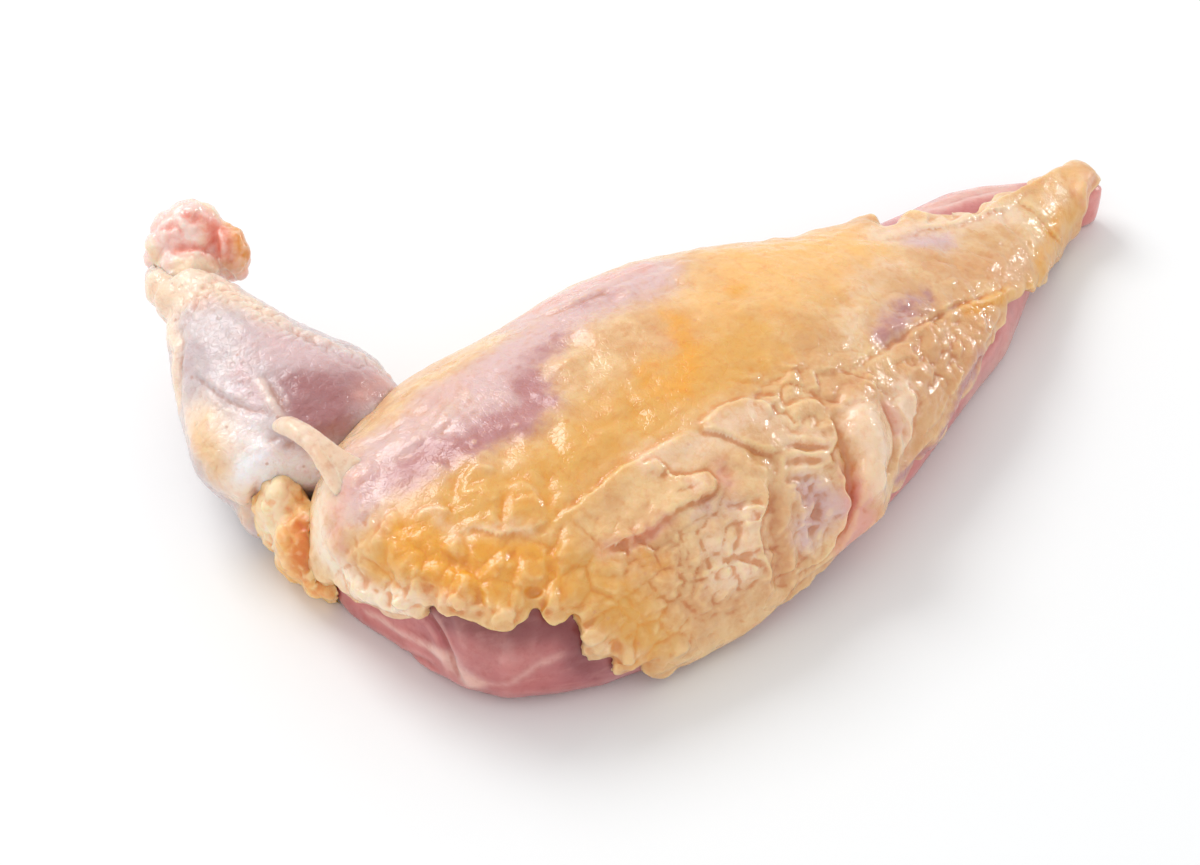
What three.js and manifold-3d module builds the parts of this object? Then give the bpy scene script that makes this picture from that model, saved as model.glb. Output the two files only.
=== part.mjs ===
// Raw guinea fowl supreme: the breast fillet of one side of the bird with its skin on,
// and the first wing joint left on at the shoulder, its bone end trimmed.
// Millimetres, +Z up. The breast lies skin side up along X, its pointed tip at +X and the shoulder
// at -X; the wing joint runs from the shoulder towards +Y. The origin is under the middle of the
// whole, on the surface that it rests on.
import * as THREE from "three";
import { ParametricGeometry } from "three/addons/geometries/ParametricGeometry.js";
import { ImprovedNoise } from "three/addons/math/ImprovedNoise.js";
import { mergeVertices } from "three/addons/utils/BufferGeometryUtils.js";
import Module from "manifold-3d";

const wasm = await Module();
wasm.setup();

// ---------------------------------------------------------------- driving dimensions
const GAP = 0.3; // clearance kept between touching pieces
const SKIN = 2.2; // skin with its fat, where it is smooth
const BARE = -1.6; // how far the skin's surface dives under the flesh past its edge
const HEM = 2.4; // width over which the skin's edge rounds down to the flesh
const HEM_ROLL = 0.9; // how far the fat swells along that edge

const WELD = 0.06; // corners of a cut body closer than this are one
const CENTRE = new THREE.Vector3(4.7, 0.5, 0); // middle of the whole, as the sizes below place it

// The breast's plan outline, shoulder to tip: the near edge and the far edge at matching stations,
// with the height of the widest line of the side (rim) and of the crown there.
const BREAST = [
  { near: [-78.2, -15.5], far: [-78.2, -15.5], rim: 12, crown: 15 },
  { near: [-74.8, -29.0], far: [-72.0, -6.5], rim: 10.5, crown: 25.6 },
  { near: [-68.4, -50.2], far: [-59.5, 2.5], rim: 8.5, crown: 29 },
  { near: [-51.0, -59.2], far: [-46.5, 8.0], rim: 7, crown: 30.8 },
  { near: [-30.0, -60.8], far: [-29.5, 9.6], rim: 7, crown: 31.6 },
  { near: [-9.5, -58.8], far: [-10.5, 11.6], rim: 7, crown: 32.4 },
  { near: [12.6, -52.8], far: [8.5, 9.4], rim: 6, crown: 30.6 },
  { near: [34.7, -42.4], far: [27.5, 4.4], rim: 6, crown: 25.4 },
  { near: [56.7, -31.4], far: [49.0, 3.2], rim: 6, crown: 19.8 },
  { near: [74.0, -18.4], far: [69.0, 4.4], rim: 6, crown: 15.6 },
  { near: [86.2, -10.8], far: [84.5, -0.6], rim: 6.6, crown: 12.5 },
  { near: [94.2, -10.4], far: [93.8, -5.0], rim: 7.6, crown: 11.4 },
  { near: [96.8, -8.6], far: [96.8, -8.6], rim: 8.6, crown: 10 },
];
const BREAST_RIDGE = 0.12; // how far the crown line lies from the middle towards the far edge

// The skin's edge on the near side: at each X, the height above which the flesh is covered.
const NEAR_HEM = [
  [-80, 10.5], [-78.6, 9.2], [-77.2, 8.6], [-76, 9.2], [-75.2, 10], [-74.4, 12], [-73.5, 12.6],
  [-72.6, 14.4], [-71.8, 18.2], [-70.6, 19.4], [-69.6, 18.8], [-68.5, 17.6], [-67.4, 18.6],
  [-66.8, 19.2], [-65.6, 17.8], [-62.4, 17.8], [-60.6, 18.8], [-59.2, 20.2], [-57, 19.6],
  [-54.9, 18.2], [-53.6, 16], [-53, 13.4], [-51.6, 11], [-48.6, 7.4], [-44, 4.2], [-38, 2.4], [-28, 2.2],
  [-20, 3.4], [-12, 5], [-4, 7], [4, 7], [11, 10], [20, 9.8], [27, 8.6], [33, 9.8], [40, 11.2],
  [48, 12], [55, 12.4], [61, 11], [68, 7.6], [74, 4.6], [81, 2.4], [87.4, 1.6], [89.4, 6.4],
  [91.2, 9.6], [94, 11.4], [98, 12],
];
// On the far side: the line in plan beyond which the fillet's edge is bare, and the least height.
const FAR_HEM = [
  [-80, 40], [30, 40], [38, 6], [45, -2.5], [52, -6.4], [62, -8.8], [69, -9.8], [77, -10], [83, -8],
  [88, -5], [93, -2], [97, 4],
];
const FAR_HEM_LOW = 4.5;
const TIP_HEM = 95.4; // the X at which the hood of skin over the tip ends

// Folds of the skin: a centre line, its half width and its height (below zero for a crease).
const FOLDS = [
  { line: [[-47, -43, 29], [-34, -40, 30], [-18, -39, 30], [-6, -39, 29]], wide: 3.0, high: 1.0 },
  { line: [[-44, -52, 26], [-28, -53, 26], [-12, -49, 27]], wide: 8.5, high: 1.0 },
  { line: [[-45, -56, 22], [-33, -53, 26], [-20, -50, 27]], wide: 2.8, high: 0.9 },
  { line: [[2, -33, 29], [12, -38, 26], [23, -34, 24], [45, -30, 18], [66, -25, 11]], wide: 2.4, high: -1 },
  { line: [[11, -45, 23], [10.5, -50, 18], [7.5, -54, 14], [3, -58, 8]], wide: 3.9, high: 2.0 },
  { line: [[4, -47, 24], [2, -53, 20], [-1, -57, 15], [-6, -60, 9]], wide: 2.2, high: -1.5 },
  { line: [[17, -44, 22], [19.5, -48, 15], [15, -53, 8]], wide: 2.0, high: -1.2 },
  { line: [[24.6, -41, 20], [25.6, -43.5, 17.5], [22, -48, 14], [16, -52, 11]], wide: 1.9, high: 0.9 },
  { line: [[76, -8, 15], [76.5, -14, 13], [80, -18, 9]], wide: 2.0, high: -0.9 },
  { line: [[84, -7, 13.5], [92, -8.5, 12]], wide: 4.5, high: 0.8 },
];

// The seam between the two lobes of flesh that show below the skin at the near corner.
const FLESH_SEAMS = [
  { line: [[-72, -37, 17], [-71, -42, 9], [-68, -46, 1]], wide: 2.2, high: -1.3 },
  { line: [[-77, -25, 8], [-75, -31, 4]], wide: 1.8, high: -0.8 },
];

// The wing joint, bone end to shoulder: centre line, half width and half height.
const WING = [
  { at: [-70.5, 49.0, 22.5], wide: 4.6, high: 5.0 },
  { at: [-70.4, 45.0, 21.6], wide: 5.2, high: 5.4 },
  { at: [-70.0, 39.5, 19.8], wide: 8.4, high: 7.6 },
  { at: [-70.1, 31.2, 17.5], wide: 12.2, high: 10.8 },
  { at: [-69.4, 21.8, 15.6], wide: 16.6, high: 12.2 },
  { at: [-68.2, 11.3, 15.0], wide: 20.4, high: 11.8 },
  { at: [-68.6, -4.0, 14.0], wide: 19.6, high: 12.0 },
];
const WING_FOLDS = [
  { line: [[-82, 22, 23], [-80.5, 11, 25.5], [-76.5, 4, 25]], wide: 2.4, high: -1.0 },
  { line: [[-85, 14, 20], [-85, 6, 17], [-83, 0, 15]], wide: 4.0, high: 0.8 },
];
// Soft tissue drawn up round the neck of the bone, and the slack lobe of skin at the wing's foot.
const NECK = [
  { at: [-73.0, 44.6, 20.5], r: [4.2, 6.4, 4.8] },
  { at: [-73.8, 50.6, 20.5], r: [3.2, 4.4, 3.8] },
];
const SLACK = [
  { at: [-77.0, 12.0, 9.5], r: [8.2, 10.6, 8.8] },
  { at: [-77.2, 5.0, 7.0], r: [7.2, 7.4, 6.8] },
  { at: [-76.4, 24.0, 13.5], r: [6.4, 12.0, 8.0] },
];

// The bone end: lumps of gristle and fat round the cut joint, each a centre and a radius.
const KNUCKLE = [
  { at: [-64.6, 56.9, 22.8], r: [7.5, 7.2, 7.5] },
  { at: [-59.6, 51.6, 21.4], r: [3.8, 5.6, 6.0] },
  { at: [-67.6, 52.4, 20.8], r: [6.0, 6.4, 6.0] },
  { at: [-70.2, 56.8, 22.0], r: [3.6, 3.8, 4.8] },
];

// The orange fat pad that fills the corner under the shoulder.
const FAT_PAD = [
  { at: [-78.6, -1.6, 9.6], r: [5.2, 5.6, 8.6] },
  { at: [-77.6, -8.4, 7.6], r: [6.2, 6.6, 8.4] },
  { at: [-76.4, -13.6, 5.4], r: [5.6, 6.0, 6.2] },
];

// The cream sinew that crosses from the wing to the breast.
const SINEW = [
  { at: [-75.6, 4.2, 26.2], wide: 1.9, high: 1.3 },
  { at: [-75.0, 1.4, 27.5], wide: 1.9, high: 1.4 },
  { at: [-73.9, -3.2, 28.6], wide: 2.0, high: 1.4 },
  { at: [-72.8, -9.0, 29.0], wide: 2.6, high: 1.4 },
  { at: [-71.8, -13.6, 29.2], wide: 3.8, high: 1.2 },
  { at: [-71.2, -16.0, 29.0], wide: 4.6, high: 1.0 },
];

// ---------------------------------------------------------------- shape helpers
const noise = new ImprovedNoise();
const lumps = (p, size, seed = 0) => noise.noise(p.x / size + seed, p.y / size, p.z / size);
const clamp01 = (t) => Math.min(1, Math.max(0, t));
const ease = (t) => clamp01(t) ** 2 * (3 - 2 * clamp01(t));

// A smooth curve through one value of each station, read at u from 0 to 1.
function track(values) {
  const points = values.map((v) => new THREE.Vector3(...[v, 0, 0].flat().slice(0, 3)));
  const curve = new THREE.CatmullRomCurve3(points, false, "catmullrom", 0.5);
  return (u) => curve.getPoint(u);
}

// Straight lines between [x, value] pairs.
function table(pairs) {
  return (x) => {
    const at = Math.max(1, pairs.findIndex(([from]) => from > x));
    const [low, high] = x >= pairs.at(-1)[0] ? pairs.slice(-2) : pairs.slice(at - 1, at + 1);
    return low[1] + (high[1] - low[1]) * clamp01((x - low[0]) / (high[0] - low[0]));
  };
}

// A closed surface over (u, v): u runs once round, v from pole to pole.
function closedSurface(at, around, along) {
  const made = new ParametricGeometry(at, around, along);
  for (const name of ["normal", "uv"]) made.deleteAttribute(name);
  const merged = mergeVertices(made, 1e-3);
  const old = merged.index.array;
  const kept = [];
  for (let i = 0; i < old.length; i += 3) {
    const [a, b, c] = [old[i], old[i + 1], old[i + 2]];
    if (a !== b && b !== c && c !== a) kept.push(a, b, c);
  }
  merged.setIndex(kept);
  return facingOut(merged);
}

// The surface with its triangles turned, where needed, so that it encloses a positive volume.
function facingOut(surface) {
  const index = Array.from(surface.index.array);
  const corner = (i) => new THREE.Vector3().fromBufferAttribute(surface.attributes.position, index[i]);
  let volume = 0;
  for (let i = 0; i < index.length; i += 3) {
    volume += corner(i).dot(corner(i + 1).cross(corner(i + 2)));
  }
  if (volume > 0) return surface;
  for (let i = 0; i < index.length; i += 3) [index[i], index[i + 1]] = [index[i + 1], index[i]];
  return surface.setIndex(index);
}

// The same surface with each point moved out along its normal by amount(point).
function grown(geometry, amount) {
  const made = geometry.clone();
  made.computeVertexNormals();
  const position = made.attributes.position;
  const normal = made.attributes.normal;
  const p = new THREE.Vector3();
  const n = new THREE.Vector3();
  for (let i = 0; i < position.count; i++) {
    p.fromBufferAttribute(position, i);
    n.fromBufferAttribute(normal, i);
    p.addScaledVector(n, amount(p));
    position.setXYZ(i, p.x, p.y, p.z);
  }
  made.deleteAttribute("normal");
  return made;
}

// The height that a set of folds adds at a point of the surface.
function foldHeight(folds) {
  const made = folds.map(({ line, wide, high }) => ({
    wide,
    high,
    parts: line.slice(1).map((to, i) => {
      return new THREE.Line3(new THREE.Vector3(...line[i]), new THREE.Vector3(...to));
    }),
  }));
  const foot = new THREE.Vector3();
  return (p) => {
    let sum = 0;
    for (const { wide, high, parts } of made) {
      const reach = parts.map((part) => part.closestPointToPoint(p, true, foot).distanceTo(p));
      sum += high * Math.exp(-((Math.min(...reach) / wide) ** 2));
    }
    return sum;
  };
}

function solid(geometry) {
  return new wasm.Manifold(
    new wasm.Mesh({
      numProp: 3,
      vertProperties: new Float32Array(geometry.attributes.position.array),
      triVerts: new Uint32Array(geometry.index.array),
    }),
  );
}

const union = (bodies) => bodies.reduce((a, b) => a.add(b));

// Sets of things that were joined in pairs: join(a, b) merges two sets, of(a) names a's set.
function joinedSets(count) {
  const parent = Array.from({ length: count }, (_, i) => i);
  const of = (i) => {
    while (parent[i] !== i) i = parent[i];
    return i;
  };
  const join = (a, b) => {
    parent[of(a)] = of(b);
  };
  return { of, join };
}

// The mesh of a cut body without the hair-thin triangles and loose scraps that cutting leaves:
// corners closer than WELD become one, and only the piece with the most triangles stays.
function cleaned(body) {
  const { vertProperties, triVerts, numVert, numTri } = body.getMesh();
  const at = (i) => new THREE.Vector3().fromArray(vertProperties, 3 * i);
  const corners = Array.from({ length: numTri }, (_, t) => [...triVerts.slice(3 * t, 3 * t + 3)]);
  const sides = ([a, b, c]) => [[a, b], [b, c], [c, a]];
  const spots = joinedSets(numVert);
  for (const [a, b] of corners.flatMap(sides)) {
    if (at(a).distanceTo(at(b)) < WELD) spots.join(a, b);
  }
  const triangles = new Map();
  for (const corner of corners) {
    const [a, b, c] = corner.map(spots.of);
    if (a === b || b === c || c === a) continue;
    const key = [a, b, c].sort().join();
    if (!triangles.delete(key)) triangles.set(key, [a, b, c]);
  }
  const faces = [...triangles.values()];
  const pieces = joinedSets(faces.length);
  const waiting = new Map();
  faces.forEach((face, i) => {
    for (const [a, b] of sides(face)) {
      const twin = `${b},${a}`;
      if (waiting.has(twin)) pieces.join(i, waiting.get(twin));
      waiting.set(`${a},${b}`, i);
    }
  });
  const ids = faces.map((_, i) => pieces.of(i));
  const size = (id) => ids.filter((other) => other === id).length;
  const most = [...new Set(ids)].reduce((a, b) => (size(a) > size(b) ? a : b));
  const geometry = new THREE.BufferGeometry();
  geometry.setAttribute("position", new THREE.BufferAttribute(new Float32Array(vertProperties), 3));
  geometry.setIndex(faces.filter((_, i) => ids[i] === most).flat());
  return geometry;
}

function mesh(name, body, material) {
  const made = new THREE.Mesh(cleaned(body), material);
  made.name = name;
  return made;
}

// ---------------------------------------------------------------- breast
const nearEdge = track(BREAST.map((s) => s.near));
const farEdge = track(BREAST.map((s) => s.far));
const rimHeight = track(BREAST.map((s) => s.rim));
const crownHeight = track(BREAST.map((s) => s.crown));

// Stations crowd towards both ends, and points round a section are spent on its top and sides.
const stationAt = (v) => (0.5 - 0.5 * Math.cos(Math.PI * v)) * 0.75 + v * 0.25;
const END = 0.07; // share of the length over which each end rounds off
const endRounding = (s) => {
  const t = clamp01(Math.min(s, 1 - s) / END);
  return Math.sqrt(t * (2 - t));
};
const UNDERSIDE = 0.16; // share of the points round a section that the flat underside gets
function sectionAngle(u) {
  if (u < 1 - UNDERSIDE) return (-0.06 + 1.12 * (u / (1 - UNDERSIDE))) * Math.PI;
  return (1.06 + 0.88 * ((u - 1 + UNDERSIDE) / UNDERSIDE)) * Math.PI;
}

const SUNK = 1.0; // the flesh is shaped this much too deep, then cut flat where it rests
function breastPoint(u, v, target) {
  const s = stationAt(v);
  const near = nearEdge(s);
  const far = farEdge(s);
  const rim = rimHeight(s).x;
  const crown = crownHeight(s).x;
  const angle = sectionAngle(u);
  const [c, k] = [Math.cos(angle), Math.sin(angle)];
  const across = Math.sign(c) * Math.abs(c) ** (k >= 0 ? 0.85 : 0.4);
  const lift = k >= 0 ? k ** 0.85 : -(Math.abs(k) ** 0.45);
  const side = across + BREAST_RIDGE * Math.max(0, lift) * (1 - across * across);
  const middle = near.clone().add(far).multiplyScalar(0.5);
  target.copy(middle).addScaledVector(far.clone().sub(middle), side);
  target.z = rim + endRounding(s) * lift * (lift >= 0 ? crown - SKIN - rim : rim + SUNK);
}

// How far inside the skin's edge a point of the breast lies; below zero it is bare flesh.
const nearHem = table(NEAR_HEM);
const farHem = table(FAR_HEM);
const nearSide = table(BREAST.map((s) => s.near));
const farSide = table(BREAST.map((s) => s.far));
function insideHem(p) {
  const middle = (nearSide(p.x) + farSide(p.x)) / 2;
  const towardsFar = ease(0.5 + (p.y - middle) / 10);
  const ragged = 0.8 * lumps(p, 5, 23);
  const near = p.z - nearHem(p.x);
  const far = Math.min(farHem(p.x) - p.y, p.z - FAR_HEM_LOW);
  return Math.min(near * (1 - towardsFar) + far * towardsFar, TIP_HEM - p.x) + ragged;
}

const skinFolds = foldHeight(FOLDS);
const fleshFolds = foldHeight(FLESH_SEAMS);
const fleshRelief = (p) => 0.5 * lumps(p, 16, 3) + fleshFolds(p);
function skinRelief(p) {
  const inside = insideHem(p);
  const cover = ease(0.5 + inside / HEM);
  const roll = HEM_ROLL * Math.exp(-(((inside - HEM) / HEM) ** 2)) * (1 + lumps(p, 6, 31));
  return BARE + cover * (SKIN - BARE + roll + skinFolds(p) + 0.7 * lumps(p, 11, 7));
}

const breastCoarse = closedSurface(breastPoint, 28, 34);
const breastFine = closedSurface(breastPoint, 42, 60);
const fleshGrown = solid(grown(breastCoarse, (p) => fleshRelief(p) + GAP));
const outer = solid(grown(breastFine, skinRelief));
const outerGrown = solid(grown(breastFine, (p) => skinRelief(p) + GAP)).add(fleshGrown);

// ---------------------------------------------------------------- wing joint, fat pad, sinew
function limb(stations, around, along) {
  const line = track(stations.map((s) => s.at));
  const size = track(stations.map((s) => [s.wide, s.high]));
  const up = new THREE.Vector3(0, 0, 1);
  return closedSurface(
    (u, v, target) => {
      const ahead = line(Math.min(1, v + 0.01)).sub(line(Math.max(0, v - 0.01))).normalize();
      const side = new THREE.Vector3().crossVectors(ahead, up).normalize();
      const lift = new THREE.Vector3().crossVectors(side, ahead);
      const { x: wide, y: high } = size(v);
      const close = Math.sqrt(clamp01(1 - (2 * v - 1) ** 8));
      const a = 2 * Math.PI * u;
      target
        .copy(line(v))
        .addScaledVector(side, Math.cos(a) * wide * close)
        .addScaledVector(lift, Math.sin(a) * high * close);
    },
    around,
    along,
  );
}

function lump({ at, r }, extra = 0) {
  const made = new THREE.IcosahedronGeometry(1, 2);
  for (const name of ["normal", "uv"]) made.deleteAttribute(name);
  const merged = mergeVertices(made, 1e-3);
  merged.scale(...r).translate(...at);
  return solid(grown(merged, (p) => extra + 0.9 * lumps(p, 3.4, 11)));
}

const wingFolds = foldHeight(WING_FOLDS);
const wingRelief = (p) => wingFolds(p) + 0.4 * lumps(p, 9, 5);
const wingShape = limb(WING, 20, 16);
const wingWhole = (extra) => {
  const muscle = solid(grown(wingShape, (p) => wingRelief(p) + extra));
  return union([muscle, ...[...NECK, ...SLACK].map((part) => lump(part, extra))]);
};
const knuckleWhole = (extra) => union(KNUCKLE.map((part) => lump(part, extra)));

const floorBox = new THREE.BoxGeometry(400, 400, 40).translate(0, 0, -20);
for (const name of ["normal", "uv"]) floorBox.deleteAttribute(name);
const floor = solid(mergeVertices(floorBox, 1e-3));

const flesh = solid(grown(breastCoarse, fleshRelief)).subtract(floor);
const skin = outer.subtract(fleshGrown).subtract(floor);
const wing = wingWhole(0).subtract(outerGrown).subtract(knuckleWhole(GAP)).subtract(floor);
const neighbours = union([outerGrown, wingWhole(GAP), floor]);
const fatPad = union(FAT_PAD.map((part) => lump(part))).subtract(neighbours);
const sinew = solid(limb(SINEW, 8, 10)).subtract(neighbours);

// ---------------------------------------------------------------- materials and the group
const finish = (color, roughness) => new THREE.MeshStandardMaterial({ color, roughness });

const supreme = new THREE.Group();
supreme.add(mesh("breast_flesh", flesh, finish(0xd08f92, 0.45)));
supreme.add(mesh("breast_skin", skin, finish(0xe6c08c, 0.4)));
supreme.add(mesh("wing_joint", wing, finish(0xc8a8a4, 0.35)));
supreme.add(mesh("knuckle", knuckleWhole(0), finish(0xe8a898, 0.4)));
supreme.add(mesh("fat_pad", fatPad, finish(0xe8ac5c, 0.4)));
supreme.add(mesh("sinew", sinew, finish(0xf0dcc0, 0.4)));

supreme.position.copy(CENTRE).negate();

export default supreme;
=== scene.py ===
# %% [markdown]
# # A raw guinea fowl supreme
# A supreme is a breast fillet with its skin on and the first joint of the wing left on it. It lies
# skin side up: a long smooth muscle that ends in a point, a coat of fatty skin that covers its top
# and stops in a lumpy hem, and a short drumstick-like wing joint with a round knuckle.
#
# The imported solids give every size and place. They are faceted and plain, so each one is copied here,
# given a fine even net of faces, and worked over: first the folds that the eye knows one by one, then
# the small relief that only has a character, then colour. The first step loads the solids.

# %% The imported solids
import math

import bmesh
import bpy
import numpy as np
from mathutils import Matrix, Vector, noise
from mathutils.bvhtree import BVHTree


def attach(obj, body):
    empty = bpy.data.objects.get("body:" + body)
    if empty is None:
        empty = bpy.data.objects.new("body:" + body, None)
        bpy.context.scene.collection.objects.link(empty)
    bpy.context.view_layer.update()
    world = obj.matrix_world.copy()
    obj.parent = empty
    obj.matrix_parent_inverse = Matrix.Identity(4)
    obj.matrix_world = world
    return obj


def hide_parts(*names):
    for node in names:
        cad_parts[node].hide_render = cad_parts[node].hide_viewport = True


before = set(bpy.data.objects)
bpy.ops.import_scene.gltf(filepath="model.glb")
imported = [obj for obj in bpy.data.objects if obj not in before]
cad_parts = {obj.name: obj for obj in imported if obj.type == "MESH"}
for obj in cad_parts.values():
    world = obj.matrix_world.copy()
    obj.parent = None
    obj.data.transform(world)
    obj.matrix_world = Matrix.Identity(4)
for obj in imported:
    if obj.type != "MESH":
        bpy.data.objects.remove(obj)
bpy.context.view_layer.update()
MM = 0.001
print("solids:", ", ".join(sorted(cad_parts)))

# %% [markdown]
# ## The camera
# The photograph was taken from well above, about 45 degrees, with a long lens, so that near and far
# ends keep almost the same scale. The camera is set up first, because the folds and patches of colour
# further down are given in the photograph's own pixels. A line of sight through a pixel meets
# the solid at the right spot, and from then on the spot belongs to the solid, seen from any side.

# %% Camera and lines of sight
PHOTO_WIDE = 1200
PHOTO_HIGH = 865
LENS_MM = 100
SENSOR_MM = 36
LOOK_DOWN = math.radians(45)
LOOK_ASIDE = math.radians(32.7)
CAMERA_DISTANCE = 0.585
AIM = Vector((-0.0282, -0.0180, 0.0135))

sight = Vector((math.sin(LOOK_ASIDE) * math.cos(LOOK_DOWN),
                math.cos(LOOK_ASIDE) * math.cos(LOOK_DOWN),
                -math.sin(LOOK_DOWN)))
photo_right = Vector((math.cos(LOOK_ASIDE), -math.sin(LOOK_ASIDE), 0))
photo_up = photo_right.cross(sight)
eye = AIM - sight * CAMERA_DISTANCE

camera_data = bpy.data.cameras.new("Camera")
camera_data.lens = LENS_MM
camera_data.sensor_width = SENSOR_MM
camera = bpy.data.objects.new("Camera", camera_data)
camera.location = eye
camera.rotation_euler = sight.to_track_quat("-Z", "Y").to_euler()
bpy.context.scene.collection.objects.link(camera)
bpy.context.scene.camera = camera


def line_of_sight(across, down):
    """The direction in which the camera sees one pixel of the photograph."""
    pixel = SENSOR_MM / LENS_MM / PHOTO_WIDE
    return (sight + photo_right * (across - PHOTO_WIDE / 2) * pixel
            - photo_up * (down - PHOTO_HIGH / 2) * pixel).normalized()


def in_photo(points):
    """The pixels of the photograph at which points, given in millimetres, are seen."""
    away = points * MM - np.array(eye)
    pixels_per_share = PHOTO_WIDE * LENS_MM / SENSOR_MM / (away @ np.array(sight))
    return np.stack([PHOTO_WIDE / 2 + away @ np.array(photo_right) * pixels_per_share,
                     PHOTO_HIGH / 2 - away @ np.array(photo_up) * pixels_per_share], axis=1)


def search_tree(node):
    """The CAD solid as a tree that lines of sight and nearest points can be looked up in."""
    return BVHTree.FromObject(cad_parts[node], bpy.context.evaluated_depsgraph_get())


SEARCH_REACH = 60
SEARCH_STEP = 2
SEARCH_TURNS = 12


def spot(tree, across, down):
    """The point of a solid under a pixel, in millimetres, or the closest one where it misses."""
    for reach in range(0, SEARCH_REACH, SEARCH_STEP):
        for turn in range(SEARCH_TURNS if reach else 1):
            angle = turn * math.tau / SEARCH_TURNS
            hit = tree.ray_cast(eye, line_of_sight(across + reach * math.cos(angle),
                                                   down + reach * math.sin(angle)))[0]
            if hit is not None:
                return np.array(hit) / MM
    raise ValueError("nothing near pixel %d, %d" % (across, down))


print("camera", round(CAMERA_DISTANCE * 1000), "mm away")

# %% [markdown]
# ## Floor and light
# The supreme lies on plain white. Most of the light is soft and comes from all round, with one big
# soft window at the upper left that gives the wet skin its sheen and a faint shadow to the lower right.
# Two small bright panels show only as glints on the wet ridges, and light nothing else.
# The standard view keeps pale raw colours as they are; a film-like one would grey them.

# %% Floor, sky and windows
FLOOR_HALF = 3.0
FLOOR_DROP = 0.0001
FLOOR_WHITE = (0.92, 0.93, 0.935, 1)
SKY_STRENGTH = 0.81
WINDOWS = {
    # name: (place in metres, side in metres, power in watts)
    "key": ((-0.15, 0.84, 0.93), 0.60, 6.9),
    "fill": ((-0.80, -0.75, 0.80), 0.90, 0.6),
    "side sparkle": ((1.10, 0.00, 0.40), 0.13, 2.3),
    "left sparkle": ((-0.85, 0.25, 0.90), 0.10, 1.6),
}
SPARKLES = ("side sparkle", "left sparkle")

bpy.context.scene.view_settings.view_transform = "Standard"

floor_mesh = bpy.data.meshes.new("floor")
floor_mesh.from_pydata([(-FLOOR_HALF, -FLOOR_HALF, 0), (FLOOR_HALF, -FLOOR_HALF, 0),
                        (FLOOR_HALF, FLOOR_HALF, 0), (-FLOOR_HALF, FLOOR_HALF, 0)],
                       [], [(0, 1, 2, 3)])
floor = bpy.data.objects.new("floor", floor_mesh)
floor.location.z = -FLOOR_DROP
bpy.context.scene.collection.objects.link(floor)
floor_finish = bpy.data.materials.new("white board")
floor_finish.use_nodes = True
floor_shader = floor_finish.node_tree.nodes["Principled BSDF"]
floor_shader.inputs["Base Color"].default_value = FLOOR_WHITE
floor_shader.inputs["Roughness"].default_value = 0.9
floor_shader.inputs["Specular IOR Level"].default_value = 0.1
floor_mesh.materials.append(floor_finish)

sky = bpy.data.worlds.new("soft room")
sky.use_nodes = True
sky.node_tree.nodes["Background"].inputs["Color"].default_value = (1, 1, 1, 1)
sky.node_tree.nodes["Background"].inputs["Strength"].default_value = SKY_STRENGTH
bpy.context.scene.world = sky

for name, (place, side, power) in WINDOWS.items():
    window = bpy.data.lights.new(name, "AREA")
    window.shape = "SQUARE"
    window.size = side
    window.energy = power
    window_object = bpy.data.objects.new(name, window)
    window_object.location = place
    window_object.rotation_euler = (AIM - Vector(place)).to_track_quat("-Z", "Y").to_euler()
    window_object.visible_diffuse = name not in SPARKLES
    bpy.context.scene.collection.objects.link(window_object)
print("lights:", ", ".join(WINDOWS), "and the sky")

# %% [markdown]
# ## A fine net of faces
# Folds of half a millimetre need faces of about that size. A voxel remesh gives a closed solid one
# even net, whatever its old faces were. The facets of the solid survive it as faint flat patches, so
# the net is relaxed. Plain relaxing would also shrink the piece, so it is done twice and the second
# loss is paid back: what one pass takes from a broad curve is given back, and the facets stay gone.

# %% Helpers for meshes
WELD = 2e-6
EASE_ROUNDS = 2  # for each square of the wanted reach, measured in voxels


def points_of(mesh):
    """All corners of a mesh, in millimetres."""
    points = np.empty(len(mesh.vertices) * 3)
    mesh.vertices.foreach_get("co", points)
    return points.reshape(-1, 3) / MM


def put_points(mesh, points):
    mesh.vertices.foreach_set("co", (points * MM).ravel())
    mesh.update()


def outward(mesh):
    """The way out of the piece at each corner."""
    normals = np.empty(len(mesh.vertices) * 3)
    mesh.vertex_normals.foreach_get("vector", normals)
    return normals.reshape(-1, 3)


def write_mask(mesh, name, values):
    """Keeps one number for each corner, for the relief and the materials to read."""
    layer = mesh.attributes.get(name) or mesh.attributes.new(name, "FLOAT", "POINT")
    layer.data.foreach_set("value", np.asarray(values, dtype=np.float32))


def soft_step(part):
    """Carries 0 to 1 along a soft S, and keeps to those ends outside them."""
    part = np.clip(part, 0, 1)
    return part * part * (3 - 2 * part)


def settle(piece):
    """Makes what the modifiers show into the piece's own plain mesh, and takes them off."""
    shown = piece.evaluated_get(bpy.context.evaluated_depsgraph_get())
    made = bpy.data.meshes.new_from_object(shown, preserve_all_data_layers=True,
                                           depsgraph=bpy.context.evaluated_depsgraph_get())
    piece.modifiers.clear()
    piece.data = made


def relaxed(piece, rounds):
    """The piece's corners after so many rounds of moving each towards its neighbours' middle."""
    modifier = piece.modifiers.new("Relax", "SMOOTH")
    modifier.factor = 0.5
    modifier.iterations = rounds
    shown = piece.evaluated_get(bpy.context.evaluated_depsgraph_get())
    points = points_of(shown.data)
    piece.modifiers.remove(modifier)
    return points


def ease(piece, rounds):
    """Relaxes a piece, and gives back what that takes from its broad curves."""
    once = relaxed(piece, rounds)
    put_points(piece.data, once)
    twice = relaxed(piece, rounds)
    put_points(piece.data, 2 * once - twice)


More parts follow.
